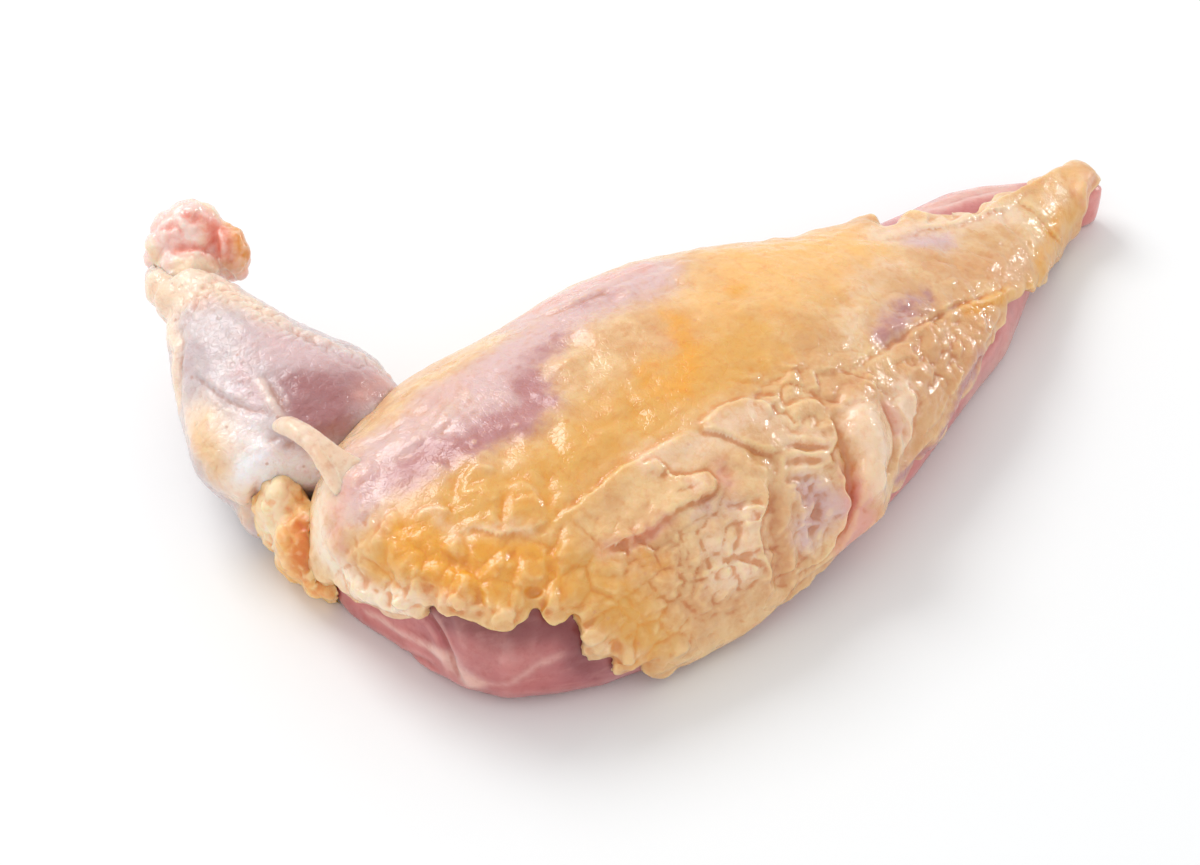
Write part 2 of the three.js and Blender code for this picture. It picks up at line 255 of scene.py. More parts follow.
def fine_copy(node, name, voxel_mm, ease_mm):
    """A copy of a CAD solid as one even net, with its facets eased away."""
    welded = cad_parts[node].data.copy()
    welded.materials.clear()
    net = bmesh.new()
    net.from_mesh(welded)
    bmesh.ops.remove_doubles(net, verts=net.verts, dist=WELD)
    net.to_mesh(welded)
    net.free()
    piece = bpy.data.objects.new(name, welded)
    bpy.context.scene.collection.objects.link(piece)
    even = piece.modifiers.new("Even net", "REMESH")
    even.mode = "VOXEL"
    even.voxel_size = voxel_mm * MM
    settle(piece)
    ease(piece, round(EASE_ROUNDS * (ease_mm / voxel_mm) ** 2))
    return piece


print("corners closer than", WELD / MM, "mm are welded")


# %% [markdown]
# ## Folds and patches by name
# Wet skin has folds that anyone would know again: a flap that lies over its neighbour, a finger-like
# bulge, three pleats in a row. Each is drawn as a short line of photo pixels with a width and a height
# in millimetres. The line is laid on the solid, and every corner near it is pushed out or in. The skin
# that a crease takes in swells up on both sides of it as a soft lip. The corners are looked up a
# little off their true place, by a smooth noise, so that no fold runs as straight as it was drawn.
#
# Patches of colour use the same lines, and are kept as masks between 0 and 1.

# %% Lines on a surface
WANDER = ((6.0, 0.8), (1.7, 0.18))  # size of the noise and how far it moves, in mm


def wandered(points):
    """The points moved a little by two smooth noises, coarse and fine."""
    moved = points.copy()
    for size, amount in WANDER:
        moved += amount * np.array([noise.noise_vector(point / size) for point in points])
    return moved


def distance_to(line, points):
    """How far each point is from a line of spots, and how far along the line it lies, 0 to 1."""
    nearest = np.full(len(points), 1e9)
    along = np.zeros(len(points))
    if len(line) == 1:
        return np.linalg.norm(points - line[0], axis=1), along + 0.5
    lengths = [np.linalg.norm(end - start) for start, end in zip(line, line[1:])]
    done = 0.0
    for start, end, length in zip(line, line[1:], lengths):
        part = np.clip((points - start) @ (end - start) / max(length, 1e-6) ** 2, 0, 1)
        away = np.linalg.norm(points - start - part[:, None] * (end - start), axis=1)
        closer = away < nearest
        nearest[closer] = away[closer]
        along[closer] = (done + part[closer] * length) / sum(lengths)
        done += length
    return nearest, along


def near_line(line, points, reach):
    """Which points are inside the box round a line, grown by reach."""
    low = np.min(line, axis=0) - reach
    high = np.max(line, axis=0) + reach
    return np.nonzero(np.all((points > low) & (points < high), axis=1))[0]


FOLD_REACH = 4.5  # this one, LIP_PLACE and LIP_WIDTH are in half widths of the fold
FOLD_END_LOSS = 0.7
LIP_FROM_MM = 0.7
LIP_SHARE = 0.36
LIP_PLACE = 2.0
LIP_WIDTH = 1.1


def folded(folds, tree, points):
    """The height in millimetres that a table of folds gives each point."""
    height = np.zeros(len(points))
    for name, pixels, wide, high in folds:
        line = [spot(tree, *pixel) for pixel in pixels]
        near = near_line(line, points, FOLD_REACH * wide)
        away, along = distance_to(line, points[near])
        fade = 1 - FOLD_END_LOSS * np.abs(2 * along - 1) ** 4
        profile = np.exp(-(away / wide) ** 2)
        if high < 0 and wide >= LIP_FROM_MM:
            profile -= LIP_SHARE * np.exp(-((away - LIP_PLACE * wide) / (LIP_WIDTH * wide)) ** 2)
        height[near] += high * fade * profile
    return height


SHEET_REACH = 4.0  # this and the groove's place and width are in widths of the sheet's edge
SHEET_GROOVE = 0.3
GROOVE_PLACE = -0.8
GROOVE_WIDTH = 0.7
SHEET_END_SLOPE = 3.5


def sheeted(sheets, tree, points):
    """The height that a table of sheets gives each point.

    A sheet is a fold that lies over its neighbour. Its line is its edge, and the sheet itself is on
    the right of the line as it is drawn: high at the edge, with a groove before it, and level again
    a few widths further in.
    """
    height = np.zeros(len(points))
    for name, pixels, wide, high in sheets:
        line = [spot(tree, *pixel) for pixel in pixels]
        near = near_line(line, points, 3 * SHEET_REACH * wide)
        away, along = distance_to(line, points[near])
        seen = in_photo(points[near])
        flat_line = [np.array(pixel, dtype=float) for pixel in pixels]
        closest = np.full(len(near), 1e9)
        side = np.zeros(len(near))
        for start, end in zip(flat_line, flat_line[1:]):
            run = end - start
            part = np.clip((seen - start) @ run / (run @ run), 0, 1)
            off = seen - start - part[:, None] * run
            closer = np.hypot(*off.T) < closest
            closest[closer] = np.hypot(*off[closer].T)
            side[closer] = np.sign(run[0] * off[closer, 1] - run[1] * off[closer, 0])
        inside = side * away / wide
        sheet = soft_step(inside + 0.5) * np.exp(-(np.maximum(inside, 0) / SHEET_REACH) ** 2)
        groove = SHEET_GROOVE * np.exp(-((inside - GROOVE_PLACE) / GROOVE_WIDTH) ** 2)
        ends = np.clip(SHEET_END_SLOPE * (1 - np.abs(2 * along - 1)), 0, 1)
        height[near] += high * ends * (sheet - groove)
    return height


CLOSING_REACH_MM = 2.2
CLOSING_FULL_MM = 0.5
CLOSING_STRENGTH = 1.2
CLOSING_OVERLAP_MM = 0.15


def closed_up(points, neighbours):
    """The points near a neighbour drawn up to it, the nearest all the way, so that no gap is left."""
    points = points.copy()
    for tree in neighbours:
        for index, point in enumerate(points):
            found, _, _, away = tree.find_nearest(point * MM, CLOSING_REACH_MM * MM)
            if found is None:
                continue
            away /= MM
            pull = 1 - max(0.0, away - CLOSING_FULL_MM) / (CLOSING_REACH_MM - CLOSING_FULL_MM)
            towards = (np.array(found) / MM - point) / max(away, 1e-6)
            points[index] += (towards * min(1.0, pull * pull * CLOSING_STRENGTH)
                              * (away + CLOSING_OVERLAP_MM))
    return points


def patched(patches, tree, points):
    """One mask for each kind of patch, from lines with a reach in millimetres and a strength."""
    masks = {}
    for kind, places in patches.items():
        left_bare = np.ones(len(points))
        for name, pixels, reach, strength in places:
            line = [spot(tree, *pixel) for pixel in pixels]
            near = near_line(line, points, 2 * reach)
            away, along = distance_to(line, points[near])
            left_bare[near] *= 1 - strength * np.exp(-(away / reach) ** 2)
        masks[kind] = 1 - left_bare
    return masks


print("drawn lines wander by up to", sum(amount for _, amount in WANDER), "mm")


# %% [markdown]
# ## Small relief by rule
# Between the folds the surface has a character rather than features. Fat is cobbled in small lobes,
# loose skin is crossed by fine creases, and all of it has a grain. That follows a rule, so Geometry
# Nodes make it: a cell pattern for lobes, the places where a noise crosses its middle for creases,
# and a fine noise for grain. Each is scaled by a mask on the piece and pushes the surface along its
# own outward direction. One tree serves every piece, with its sizes as inputs.

# %% Relief tree


def put(tree, kind, feed=None, **settings):
    """Adds a node. feed gives its inputs a value or another node's output, by name or number."""
    made = tree.nodes.new(kind)
    for key, value in settings.items():
        setattr(made, key, value)
    for key, value in (feed or {}).items():
        if isinstance(value, bpy.types.NodeSocket):
            tree.links.new(value, made.inputs[key])
        else:
            made.inputs[key].default_value = value
    return made


def sums(tree, operation, *values):
    """One step of arithmetic, and its result."""
    made = put(tree, "ShaderNodeMath", dict(enumerate(values)), operation=operation)
    return made.outputs[0]


def scaled(tree, vector, factor):
    made = put(tree, "ShaderNodeVectorMath", {0: vector, "Scale": factor}, operation="SCALE")
    return made.outputs[0]


def between(tree, value, low, high, bottom, top):
    """Carries a value from one range to another along a soft S."""
    made = put(tree, "ShaderNodeMapRange",
               {"Value": value, "From Min": low, "From Max": high, "To Min": bottom, "To Max": top},
               interpolation_type="SMOOTHSTEP")
    return made.outputs["Result"]


RELIEF_INPUTS = {
    # name: value used where a piece gives none, in millimetres but for the seed
    "Lobe size": 4.0,
    "Lobe height": 0.5,
    "Crease size": 5.0,
    "Crease depth": 0.4,
    "Grain size": 1.1,
    "Grain height": 0.08,
    "Seed": 1.0,
}


FOLD_STRETCH = (0.8, 1.15, 1.15)
LOBE_OCTAVES = ((1.0, 1.0), (0.5, 0.22))  # size as a share of the lobe, and weight
LOBE_WOBBLE = 0.9
LOBE_FLANK = 0.38
LOBE_ROUNDNESS = 0.75
LOBE_RISE = 1.5
LOBE_SINK = 1.0
CREASE_WIDTH = 0.11
FINE_CREASE_WIDTH = 0.24
FINE_CREASE_SIZE = 0.42
FINE_CREASE_WEIGHT = 0.4
CREASE_LEVEL = 0.5
GRAIN_LEAST = 0.6
GRAIN_IN_CREASES = 1.6
CREASE_SHARPNESS = 0.8


def crossing(tree, place, size, width, seed):
    """1 where a noise crosses its middle value, fading to 0: a net of meandering creases."""
    pattern = put(tree, "ShaderNodeTexNoise",
                  {"Vector": place, "W": seed, "Scale": sums(tree, "DIVIDE", 1000.0, size),
                   "Detail": 1.2, "Distortion": 0.5}, noise_dimensions="4D")
    off_middle = sums(tree, "ABSOLUTE", sums(tree, "SUBTRACT", pattern.outputs[0], 0.5))
    plate = put(tree, "ShaderNodeMapRange", {"Value": off_middle, "From Max": width}).outputs["Result"]
    return sums(tree, "SUBTRACT", 1.0, sums(tree, "POWER", plate, CREASE_SHARPNESS))


def relief_tree():
    tree = bpy.data.node_groups.new("Soft tissue relief", "GeometryNodeTree")
    tree.interface.new_socket("Geometry", in_out="INPUT", socket_type="NodeSocketGeometry")
    for name, value in RELIEF_INPUTS.items():
        socket = tree.interface.new_socket(name, in_out="INPUT", socket_type="NodeSocketFloat")
        socket.default_value = value
    tree.interface.new_socket("Finish", in_out="INPUT", socket_type="NodeSocketMaterial")
    tree.interface.new_socket("Geometry", in_out="OUTPUT", socket_type="NodeSocketGeometry")
    given = tree.nodes.new("NodeGroupInput").outputs

    def mask(name):
        found = put(tree, "GeometryNodeInputNamedAttribute", {"Name": name}, data_type="FLOAT")
        return found.outputs["Attribute"]

    place = tree.nodes.new("GeometryNodeInputPosition").outputs[0]
    wobble = put(tree, "ShaderNodeTexNoise",
                 {"Vector": place, "W": given["Seed"], "Detail": 1.0,
                  "Scale": sums(tree, "DIVIDE", 1000.0, given["Lobe size"])}, noise_dimensions="4D")
    wobbled = put(tree, "ShaderNodeVectorMath",
                  {0: place, 1: scaled(tree, wobble.outputs["Color"],
                                       sums(tree, "MULTIPLY", given["Lobe size"], LOBE_WOBBLE * MM))},
                  operation="ADD").outputs[0]
    lobes = 0.0
    for share, weight in LOBE_OCTAVES:
        cells = put(tree, "ShaderNodeTexVoronoi",
                    {"Vector": wobbled, "Randomness": 1.0,
                     "Scale": sums(tree, "DIVIDE", 1000.0 / share, given["Lobe size"])},
                    feature="DISTANCE_TO_EDGE")
        rise = put(tree, "ShaderNodeMapRange",
                   {"Value": cells.outputs["Distance"], "From Max": LOBE_FLANK})
        pillow = sums(tree, "POWER", rise.outputs["Result"], LOBE_ROUNDNESS)
        dome = sums(tree, "SUBTRACT", sums(tree, "MULTIPLY", pillow, LOBE_RISE), LOBE_SINK)
        lobes = sums(tree, "ADD", lobes, sums(tree, "MULTIPLY", dome, weight))
    lobes = sums(tree, "MULTIPLY", lobes,
                 sums(tree, "MULTIPLY", given["Lobe height"], mask("lobed")))

    along_folds = put(tree, "ShaderNodeVectorMath", {0: place, 1: FOLD_STRETCH},
                      operation="MULTIPLY").outputs[0]
    coarse = crossing(tree, along_folds, given["Crease size"], CREASE_WIDTH, given["Seed"])
    fine_size = sums(tree, "MULTIPLY", given["Crease size"], FINE_CREASE_SIZE)
    fine_seed = sums(tree, "ADD", given["Seed"], 7.0)
    fine = crossing(tree, along_folds, fine_size, FINE_CREASE_WIDTH, fine_seed)
    both = sums(tree, "ADD", coarse, sums(tree, "MULTIPLY", fine, FINE_CREASE_WEIGHT))
    both = sums(tree, "SUBTRACT", both, CREASE_LEVEL)
    creases = sums(tree, "MULTIPLY", both,
                   sums(tree, "MULTIPLY", given["Crease depth"], mask("creased")))

    grains = put(tree, "ShaderNodeTexNoise",
                 {"Vector": place, "W": given["Seed"], "Detail": 2.0,
                  "Scale": sums(tree, "DIVIDE", 1000.0, given["Grain size"])}, noise_dimensions="4D")
    coarser = sums(tree, "ADD", GRAIN_LEAST, sums(tree, "MULTIPLY", mask("creased"), GRAIN_IN_CREASES))
    grain = sums(tree, "MULTIPLY", sums(tree, "SUBTRACT", grains.outputs[0], 0.5),
                 sums(tree, "MULTIPLY", given["Grain height"], sums(tree, "MULTIPLY", coarser, 2.0)))

    height = sums(tree, "ADD", sums(tree, "SUBTRACT", lobes, creases), grain)
    height = sums(tree, "MULTIPLY", height, sums(tree, "MULTIPLY", mask("free"), MM))
    push = scaled(tree, tree.nodes.new("GeometryNodeInputNormal").outputs[0], height)
    moved = put(tree, "GeometryNodeSetPosition", {"Geometry": given["Geometry"], "Offset": push})
    real = put(tree, "GeometryNodeRealizeInstances", {"Geometry": moved.outputs[0]})
    dressed = put(tree, "GeometryNodeSetMaterial",
                  {"Geometry": real.outputs[0], "Material": given["Finish"]})
    put(tree, "NodeGroupOutput", {"Geometry": dressed.outputs[0]})
    return tree


RELIEF = relief_tree()


SOFTEN_ROUNDS = 2


def give_relief(piece, finish, **sizes):
    """Runs the relief tree over a piece, softens it a little and keeps the result as its mesh."""
    modifier = piece.modifiers.new("Relief", "NODES")
    modifier.node_group = RELIEF
    wanted = {name.replace(" ", "_").lower(): name for name in RELIEF_INPUTS}
    given = {wanted[key]: float(value) for key, value in sizes.items()}
    for socket in RELIEF.interface.items_tree:
        if socket.in_out == "INPUT" and socket.name in given:
            modifier[socket.identifier] = given[socket.name]
        if socket.name == "Finish":
            modifier[socket.identifier] = finish
    before = points_of(piece.data)
    settle(piece)
    moved = np.linalg.norm(points_of(piece.data) - before, axis=1)
    print("relief moves", piece.name, "by", moved.mean(), "mm, at most", moved.max())
    put_points(piece.data, relaxed(piece, SOFTEN_ROUNDS))
    piece.data.shade_smooth()


HOLLOW_ROUNDS = 14
HOLLOW_FULL_MM = 0.16


# The hollow mask is what the materials paint shade into creases and highlight onto crests by.
def mark_hollows(piece):
    """Keeps how far each corner lies under its surroundings: 1 in a crease, -1 on a crest."""
    around = relaxed(piece, HOLLOW_ROUNDS)
    under = np.sum((around - points_of(piece.data)) * outward(piece.data), axis=1)
    write_mask(piece.data, "hollow", np.clip(under / HOLLOW_FULL_MM, -1, 1))


print("relief inputs:", ", ".join(RELIEF_INPUTS))

# %% [markdown]
# ## What the materials share
# Raw skin, fat and meat have much in common: light goes a few millimetres in and comes out softened,
# patches of colour have ragged edges, and a film of moisture lies on top, broken by a fine grain into
# small glints. Each material also has shade painted into its creases, deeper in colour where light
# bounces in them, and a highlight painted onto its ridges. Two shader groups make the ragged edges and
# the wet grain, and each material puts them to its own use.

# %% Shader groups
PATCH_FROM = -0.05
CELL_EDGE = 0.16
PIT_EDGES = (0.05, 0.2)
SHEEN_SPREAD = 5.0


def shader_group(name, inputs, outputs):
    tree = bpy.data.node_groups.new(name, "ShaderNodeTree")
    for key, value in inputs.items():
        kind = "NodeSocketVector" if value is None else "NodeSocketFloat"
        socket = tree.interface.new_socket(key, in_out="INPUT", socket_type=kind)
        if value is not None:
            socket.default_value = value
    for key in outputs:
        tree.interface.new_socket(key, in_out="OUTPUT", socket_type="NodeSocketFloat")
    return tree, tree.nodes.new("NodeGroupInput").outputs


def ragged_patch_group():
    """Breaks up the soft edge of a mask with noise of a given size, and firms it a little."""
    tree, given = shader_group("Ragged patch",
                               {"Place": None, "Mask": 0.0, "Size": 3.0, "Raggedness": 0.5}, ["Mask"])
    pattern = put(tree, "ShaderNodeTexNoise",
                  {"Vector": given["Place"], "Detail": 4.0, "Roughness": 0.6,
                   "Scale": sums(tree, "DIVIDE", 1000.0, given["Size"])})
    swing = sums(tree, "MULTIPLY", sums(tree, "SUBTRACT", pattern.outputs[0], 0.5), given["Raggedness"])
    edge = sums(tree, "MULTIPLY", sums(tree, "MULTIPLY", given["Mask"],
                                       sums(tree, "SUBTRACT", 1.0, given["Mask"])), 4.0)
    broken = sums(tree, "ADD", given["Mask"], sums(tree, "MULTIPLY", swing, edge))
    put(tree, "NodeGroupOutput", {"Mask": between(tree, broken, PATCH_FROM, 1.0, 0.0, 1.0)})
    return tree


def wet_grain_group():
    """Height for the bump of a moist surface: fine grain, small cells and pits."""
    tree, given = shader_group("Wet grain",
                               {"Place": None, "Size": 0.8, "Cell size": 1.5, "Cells": 0.5,
                                "Pit size": 2.6, "Pits": 0.0}, ["Height", "Sheen"])
    grain = put(tree, "ShaderNodeTexNoise",
                {"Vector": given["Place"], "Detail": 3.0, "Roughness": 0.55,
                 "Scale": sums(tree, "DIVIDE", 1000.0, given["Size"])})
    cells = put(tree, "ShaderNodeTexVoronoi",
                {"Vector": given["Place"], "Scale": sums(tree, "DIVIDE", 1000.0, given["Cell size"])},
                feature="DISTANCE_TO_EDGE")
    pits = put(tree, "ShaderNodeTexVoronoi",
               {"Vector": given["Place"], "Scale": sums(tree, "DIVIDE", 1000.0, given["Pit size"])})
    edges = sums(tree, "MULTIPLY", between(tree, cells.outputs["Distance"], 0.0, CELL_EDGE, 0.0, 1.0),
                 given["Cells"])
    holes = sums(tree, "MULTIPLY", between(tree, pits.outputs["Distance"], *PIT_EDGES, -1.0, 0.0),
                 given["Pits"])
    height = sums(tree, "ADD", sums(tree, "ADD", grain.outputs[0], edges), holes)
    sheen = put(tree, "ShaderNodeTexNoise",
                {"Vector": given["Place"], "Detail": 2.0,
                 "Scale": sums(tree, "DIVIDE", 1000.0 / SHEEN_SPREAD, given["Size"])})
    put(tree, "NodeGroupOutput", {"Height": height, "Sheen": sheen.outputs[0]})
    return tree


RAGGED_PATCH = ragged_patch_group()
WET_GRAIN = wet_grain_group()


def paint(red, green, blue):
    """A colour as it looks on a screen, 0 to 255, turned into the amounts of light that shaders use."""
    def light(value):
        part = value / 255
        return part / 12.92 if part <= 0.04045 else ((part + 0.055) / 1.055) ** 2.4
    return (light(red), light(green), light(blue), 1.0)


def mixed(tree, factor, under, over, blend="MIX"):
    """One colour laid over another by a factor."""
    made = put(tree, "ShaderNodeMix", {0: factor, 6: under, 7: over}, data_type="RGBA", blend_type=blend)
    return made.outputs[2]


FRECKLE_MM = 1.6
FRECKLE_STRENGTH = 0.35
PORE_MM = 4.2
PORE_EDGES = (0.05, 0.11)     # from the middle of a pore to clear skin, in shares of PORE_MM
# DEEP_FROM, DEEP_FULL and DEEP_SHADE shape the painted shade in the hollows
DEEP_FROM = -0.3
DEEP_FULL = 0.9
DEEP_SHADE = 0.35             # what is left of the crease's tint where fat fills the hollows
DRY_SHARE = 0.4
WET_FROM = 0.8
SHEEN_SWING = (-0.08, 0.1)
MOISTURE_IOR = 1.38
SUBSURFACE_SHARE = 0.55


def tissue(name, base, second, layers, crease, crest, grain, gloss, depth_mm, blush,
           mottle_mm=9.0, lines=None, deep=None, pores=None, wet_where=None):
    """A moist raw surface.

    base and second are its two ground colours, mixed in clouds of mottle_mm. layers lists the
    patches over them as (mask, colour, size of the ragged edge in mm, raggedness). crease is the
    colour and strength of the painted shade multiplied into the hollows, its colour also used for
    freckles, and crest is the colour and strength of the painted highlight on the ridges. grain feeds
    the Wet grain group, gloss is (roughness, coat, coat roughness, bump height in mm), and depth_mm
    and blush say how far light goes in. lines are threads of another colour, deep is a colour painted
    into the hollows where a mask is, as deeper shade, and pores is the colour and strength of the dots
    that feathers leave. wet_where is the mask outside which the film of moisture is thin.
    """
    finish = bpy.data.materials.new(name)
    finish.use_nodes = True
    tree = finish.node_tree
    shader = tree.nodes["Principled BSDF"]
    place = tree.nodes.new("ShaderNodeTexCoord").outputs["Object"]
    clouds = put(tree, "ShaderNodeTexNoise",
                 {"Vector": place, "Scale": 1000 / mottle_mm, "Detail": 5.0, "Roughness": 0.6})
    colour = mixed(tree, between(tree, clouds.outputs[0], 0.35, 0.65, 0.0, 1.0), base, second)
    for mask, over, size, raggedness in layers:
        read = put(tree, "ShaderNodeAttribute", attribute_name=mask)
        patch = put(tree, "ShaderNodeGroup",
                    {"Place": place, "Mask": read.outputs["Fac"], "Size": size,
                     "Raggedness": raggedness}, node_tree=RAGGED_PATCH)
        colour = mixed(tree, patch.outputs["Mask"], colour, over)
    if lines:
        stretched = put(tree, "ShaderNodeMapping",
                        {"Vector": place, "Scale": lines["stretch"], "Rotation": lines["turn"]})
        threads = put(tree, "ShaderNodeTexNoise",
                      {"Vector": stretched.outputs[0], "Scale": 1000 / lines["size"],
                       "Detail": 3.0, "Distortion": 0.3})
        colour = mixed(tree, between(tree, threads.outputs[0], 0.5, 0.75, 0.0, lines["strength"]),
                       colour, lines["colour"])
    freckles = put(tree, "ShaderNodeTexNoise",
                   {"Vector": place, "Scale": 1000 / FRECKLE_MM, "Detail": 3.0, "Roughness": 0.65})
    colour = mixed(tree, between(tree, freckles.outputs[0], 0.45, 0.75, 0.0, FRECKLE_STRENGTH), colour,
                   crease[0], "MULTIPLY")
    if pores:
        dots = put(tree, "ShaderNodeTexVoronoi", {"Vector": place, "Scale": 1000 / PORE_MM})
        dot = between(tree, dots.outputs["Distance"], *PORE_EDGES, pores[1], 0.0)
        colour = mixed(tree, dot, colour, pores[0])
    hollow = put(tree, "ShaderNodeAttribute", attribute_name="hollow").outputs["Fac"]
    # painted shade: deep paints its colour into the hollows where its mask is
    if deep:
        where, fill, strength = deep
        here = put(tree, "ShaderNodeAttribute", attribute_name=where).outputs["Fac"]
        share = sums(tree, "MULTIPLY", between(tree, hollow, DEEP_FROM, DEEP_FULL, 0.0, strength), here)
        colour = mixed(tree, share, colour, fill)
    # painted shade: the crease colour multiplied into the hollows
    shade = between(tree, hollow, 0.05, 1.0, 0.0, crease[1])
    if deep:
        shade = sums(tree, "MULTIPLY", shade, between(tree, here, 0.0, 1.0, 1.0, DEEP_SHADE))
    colour = mixed(tree, shade, colour, crease[0], "MULTIPLY")
    # painted highlight: the crest colour laid on the ridges
    colour = mixed(tree, between(tree, hollow, -0.1, -1.0, 0.0, crest[1]), colour, crest[0])
    tree.links.new(colour, shader.inputs["Base Color"])

    wet = put(tree, "ShaderNodeGroup", {"Place": place, **grain}, node_tree=WET_GRAIN)
    roughness, coat, coat_roughness, bump_mm = gloss
    bump = put(tree, "ShaderNodeBump", {"Height": wet.outputs["Height"], "Distance": bump_mm * MM})
    tree.links.new(bump.outputs[0], shader.inputs["Normal"])
    tree.links.new(bump.outputs[0], shader.inputs["Coat Normal"])
    smoothest, roughest = (roughness + swing for swing in SHEEN_SWING)
    tree.links.new(between(tree, wet.outputs["Sheen"], 0.3, 0.7, smoothest, roughest),
                   shader.inputs["Roughness"])
    shader.inputs["Coat Weight"].default_value = coat
    if wet_where:
        film = put(tree, "ShaderNodeAttribute", attribute_name=wet_where).outputs["Fac"]
        tree.links.new(between(tree, film, 0.0, WET_FROM, DRY_SHARE * coat, coat),
                       shader.inputs["Coat Weight"])
    shader.inputs["Coat Roughness"].default_value = coat_roughness
    shader.inputs["Coat IOR"].default_value = MOISTURE_IOR
    shader.inputs["Subsurface Weight"].default_value = SUBSURFACE_SHARE
    shader.inputs["Subsurface Scale"].default_value = depth_mm * MM
    shader.inputs["Subsurface Radius"].default_value = blush
    return finish


print("shader groups:", RAGGED_PATCH.name, "and", WET_GRAIN.name)

# %% [markdown]
# ## The skin
# The skin is a shell about two millimetres thick that follows the breast and ends in a hem. Over the
# shoulder it is thin and lets the mauve muscle through. Along the near side it carries fat, in yellow
# and amber lobes, and past the middle it lies loose in plates and wrinkles. Towards the tip it turns
# tan and dimpled, and a roll of it closes the tip like a hood.
#
# Its inner side rests on the meat and is never seen, so that side can be coarse: its faces are merged
# until only a few are left, and the fine ones go where the light falls.

# %% Skin folds
SKIN_SHEETS = [
    # name, photo pixels of the edge with the sheet on its right, edge width in mm, height in mm
    ("long flap", [(548, 517), (575, 503), (600, 487), (622, 468), (650, 452), (668, 440), (696, 424)],
     1.1, 0.75),
    ("plate", [(696, 424), (722, 408), (745, 401), (756, 402)], 0.9, 0.8),
    ("corner flap", [(756, 404), (766, 396), (778, 394), (782, 405)], 0.8, 0.6),
    ("lower plate", [(782, 452), (762, 450), (742, 443), (722, 436), (700, 430)], 0.7, 0.8),
    ("lower plate end", [(746, 446), (768, 452), (780, 462), (781, 476)], 0.8, -0.4),
    ("tongue", [(664, 476), (690, 474), (708, 474), (717, 483), (712, 494), (694, 500)], 0.7, 0.9),
    ("yellow lobe", [(640, 464), (655, 462), (664, 470), (655, 478)], 0.8, 0.5),
    ("over the pink crease", [(722, 488), (700, 498), (682, 506), (664, 517), (640, 536), (617, 546),
                              (600, 550)], 0.9, 0.85),
    ("left of the valley", [(768, 478), (769, 495), (765, 512), (758, 530), (762, 552), (773, 568),
                            (770, 590)], 0.9, 1.0),
    ("pale lobes", [(735, 512), (752, 505), (760, 512), (757, 524), (738, 530)], 0.7, 0.6),
    ("low pale lobes", [(700, 575), (720, 562), (745, 560), (765, 566)], 0.8, 0.6),
    ("edge of the grey lumps", [(834, 462), (840, 478), (836, 492), (843, 505), (838, 525), (832, 542),
                                (820, 560), (802, 576)], 0.9, 1.3),
    ("edge of the pleats", [(826, 416), (833, 430), (834, 442), (829, 455), (833, 466)], 0.8, 0.9),
    ("above the pleats", [(782, 408), (800, 402), (815, 398), (824, 408)], 0.8, 0.5),
    ("thumb", [(905, 382), (915, 396), (914, 414), (907, 438), (898, 462)], 1.1, 0.65),
    ("right flap", [(1000, 318), (985, 345), (972, 370), (950, 398), (930, 430), (915, 450)], 1.1, 0.4),
    ("left of the long crease", [(862, 362), (840, 374), (806, 374), (775, 366)], 0.9, 0.35),
    ("soft fold 1", [(911, 343), (914, 352), (918, 362)], 0.9, 0.55),
    ("soft fold 2", [(938, 330), (944, 342), (948, 352)], 0.9, 0.5),
    ("soft fold 3", [(957, 340), (963, 350), (960, 362)], 0.8, 0.5),
    ("soft fold 4", [(925, 358), (934, 370), (932, 386)], 1.0, 0.65),
    ("soft fold 5", [(952, 362), (960, 374), (955, 390)], 0.9, 0.5),
    ("soft fold 6", [(978, 310), (986, 319), (984, 332)], 0.8, 0.5),
    ("soft fold 7", [(812, 370), (817, 383), (816, 394)], 0.9, 0.5),
    ("soft fold 8", [(868, 372), (878, 380), (878, 392)], 0.9, 0.45),
    ("tip hood", [(1062, 243), (1046, 228), (1032, 212), (1020, 200)], 0.9, 0.4),
    ("arc", [(552, 517), (528, 530), (500, 536), (475, 530), (455, 533)], 1.0, 0.55),
    ("left swell", [(458, 500), (462, 478), (480, 466), (500, 470)], 1.3, 0.5),
    ("right swell", [(508, 490), (522, 482), (536, 490), (540, 508)], 1.2, 0.5),
    ("pale folds", [(415, 520), (425, 508), (442, 506), (452, 514)], 0.9, 0.5),
    ("left folds", [(372, 545), (378, 528), (390, 515), (402, 512)], 0.9, 0.6),
    ("wing side", [(345, 560), (356, 548), (366, 540), (372, 528)], 1.0, 0.4),
    ("mauve swell", [(612, 288), (590, 297), (562, 309), (540, 318)], 1.0, 0.45),
    ("far roll", [(868, 240), (915, 233), (955, 223), (990, 213), (1016, 206)], 1.2, -0.4),
]
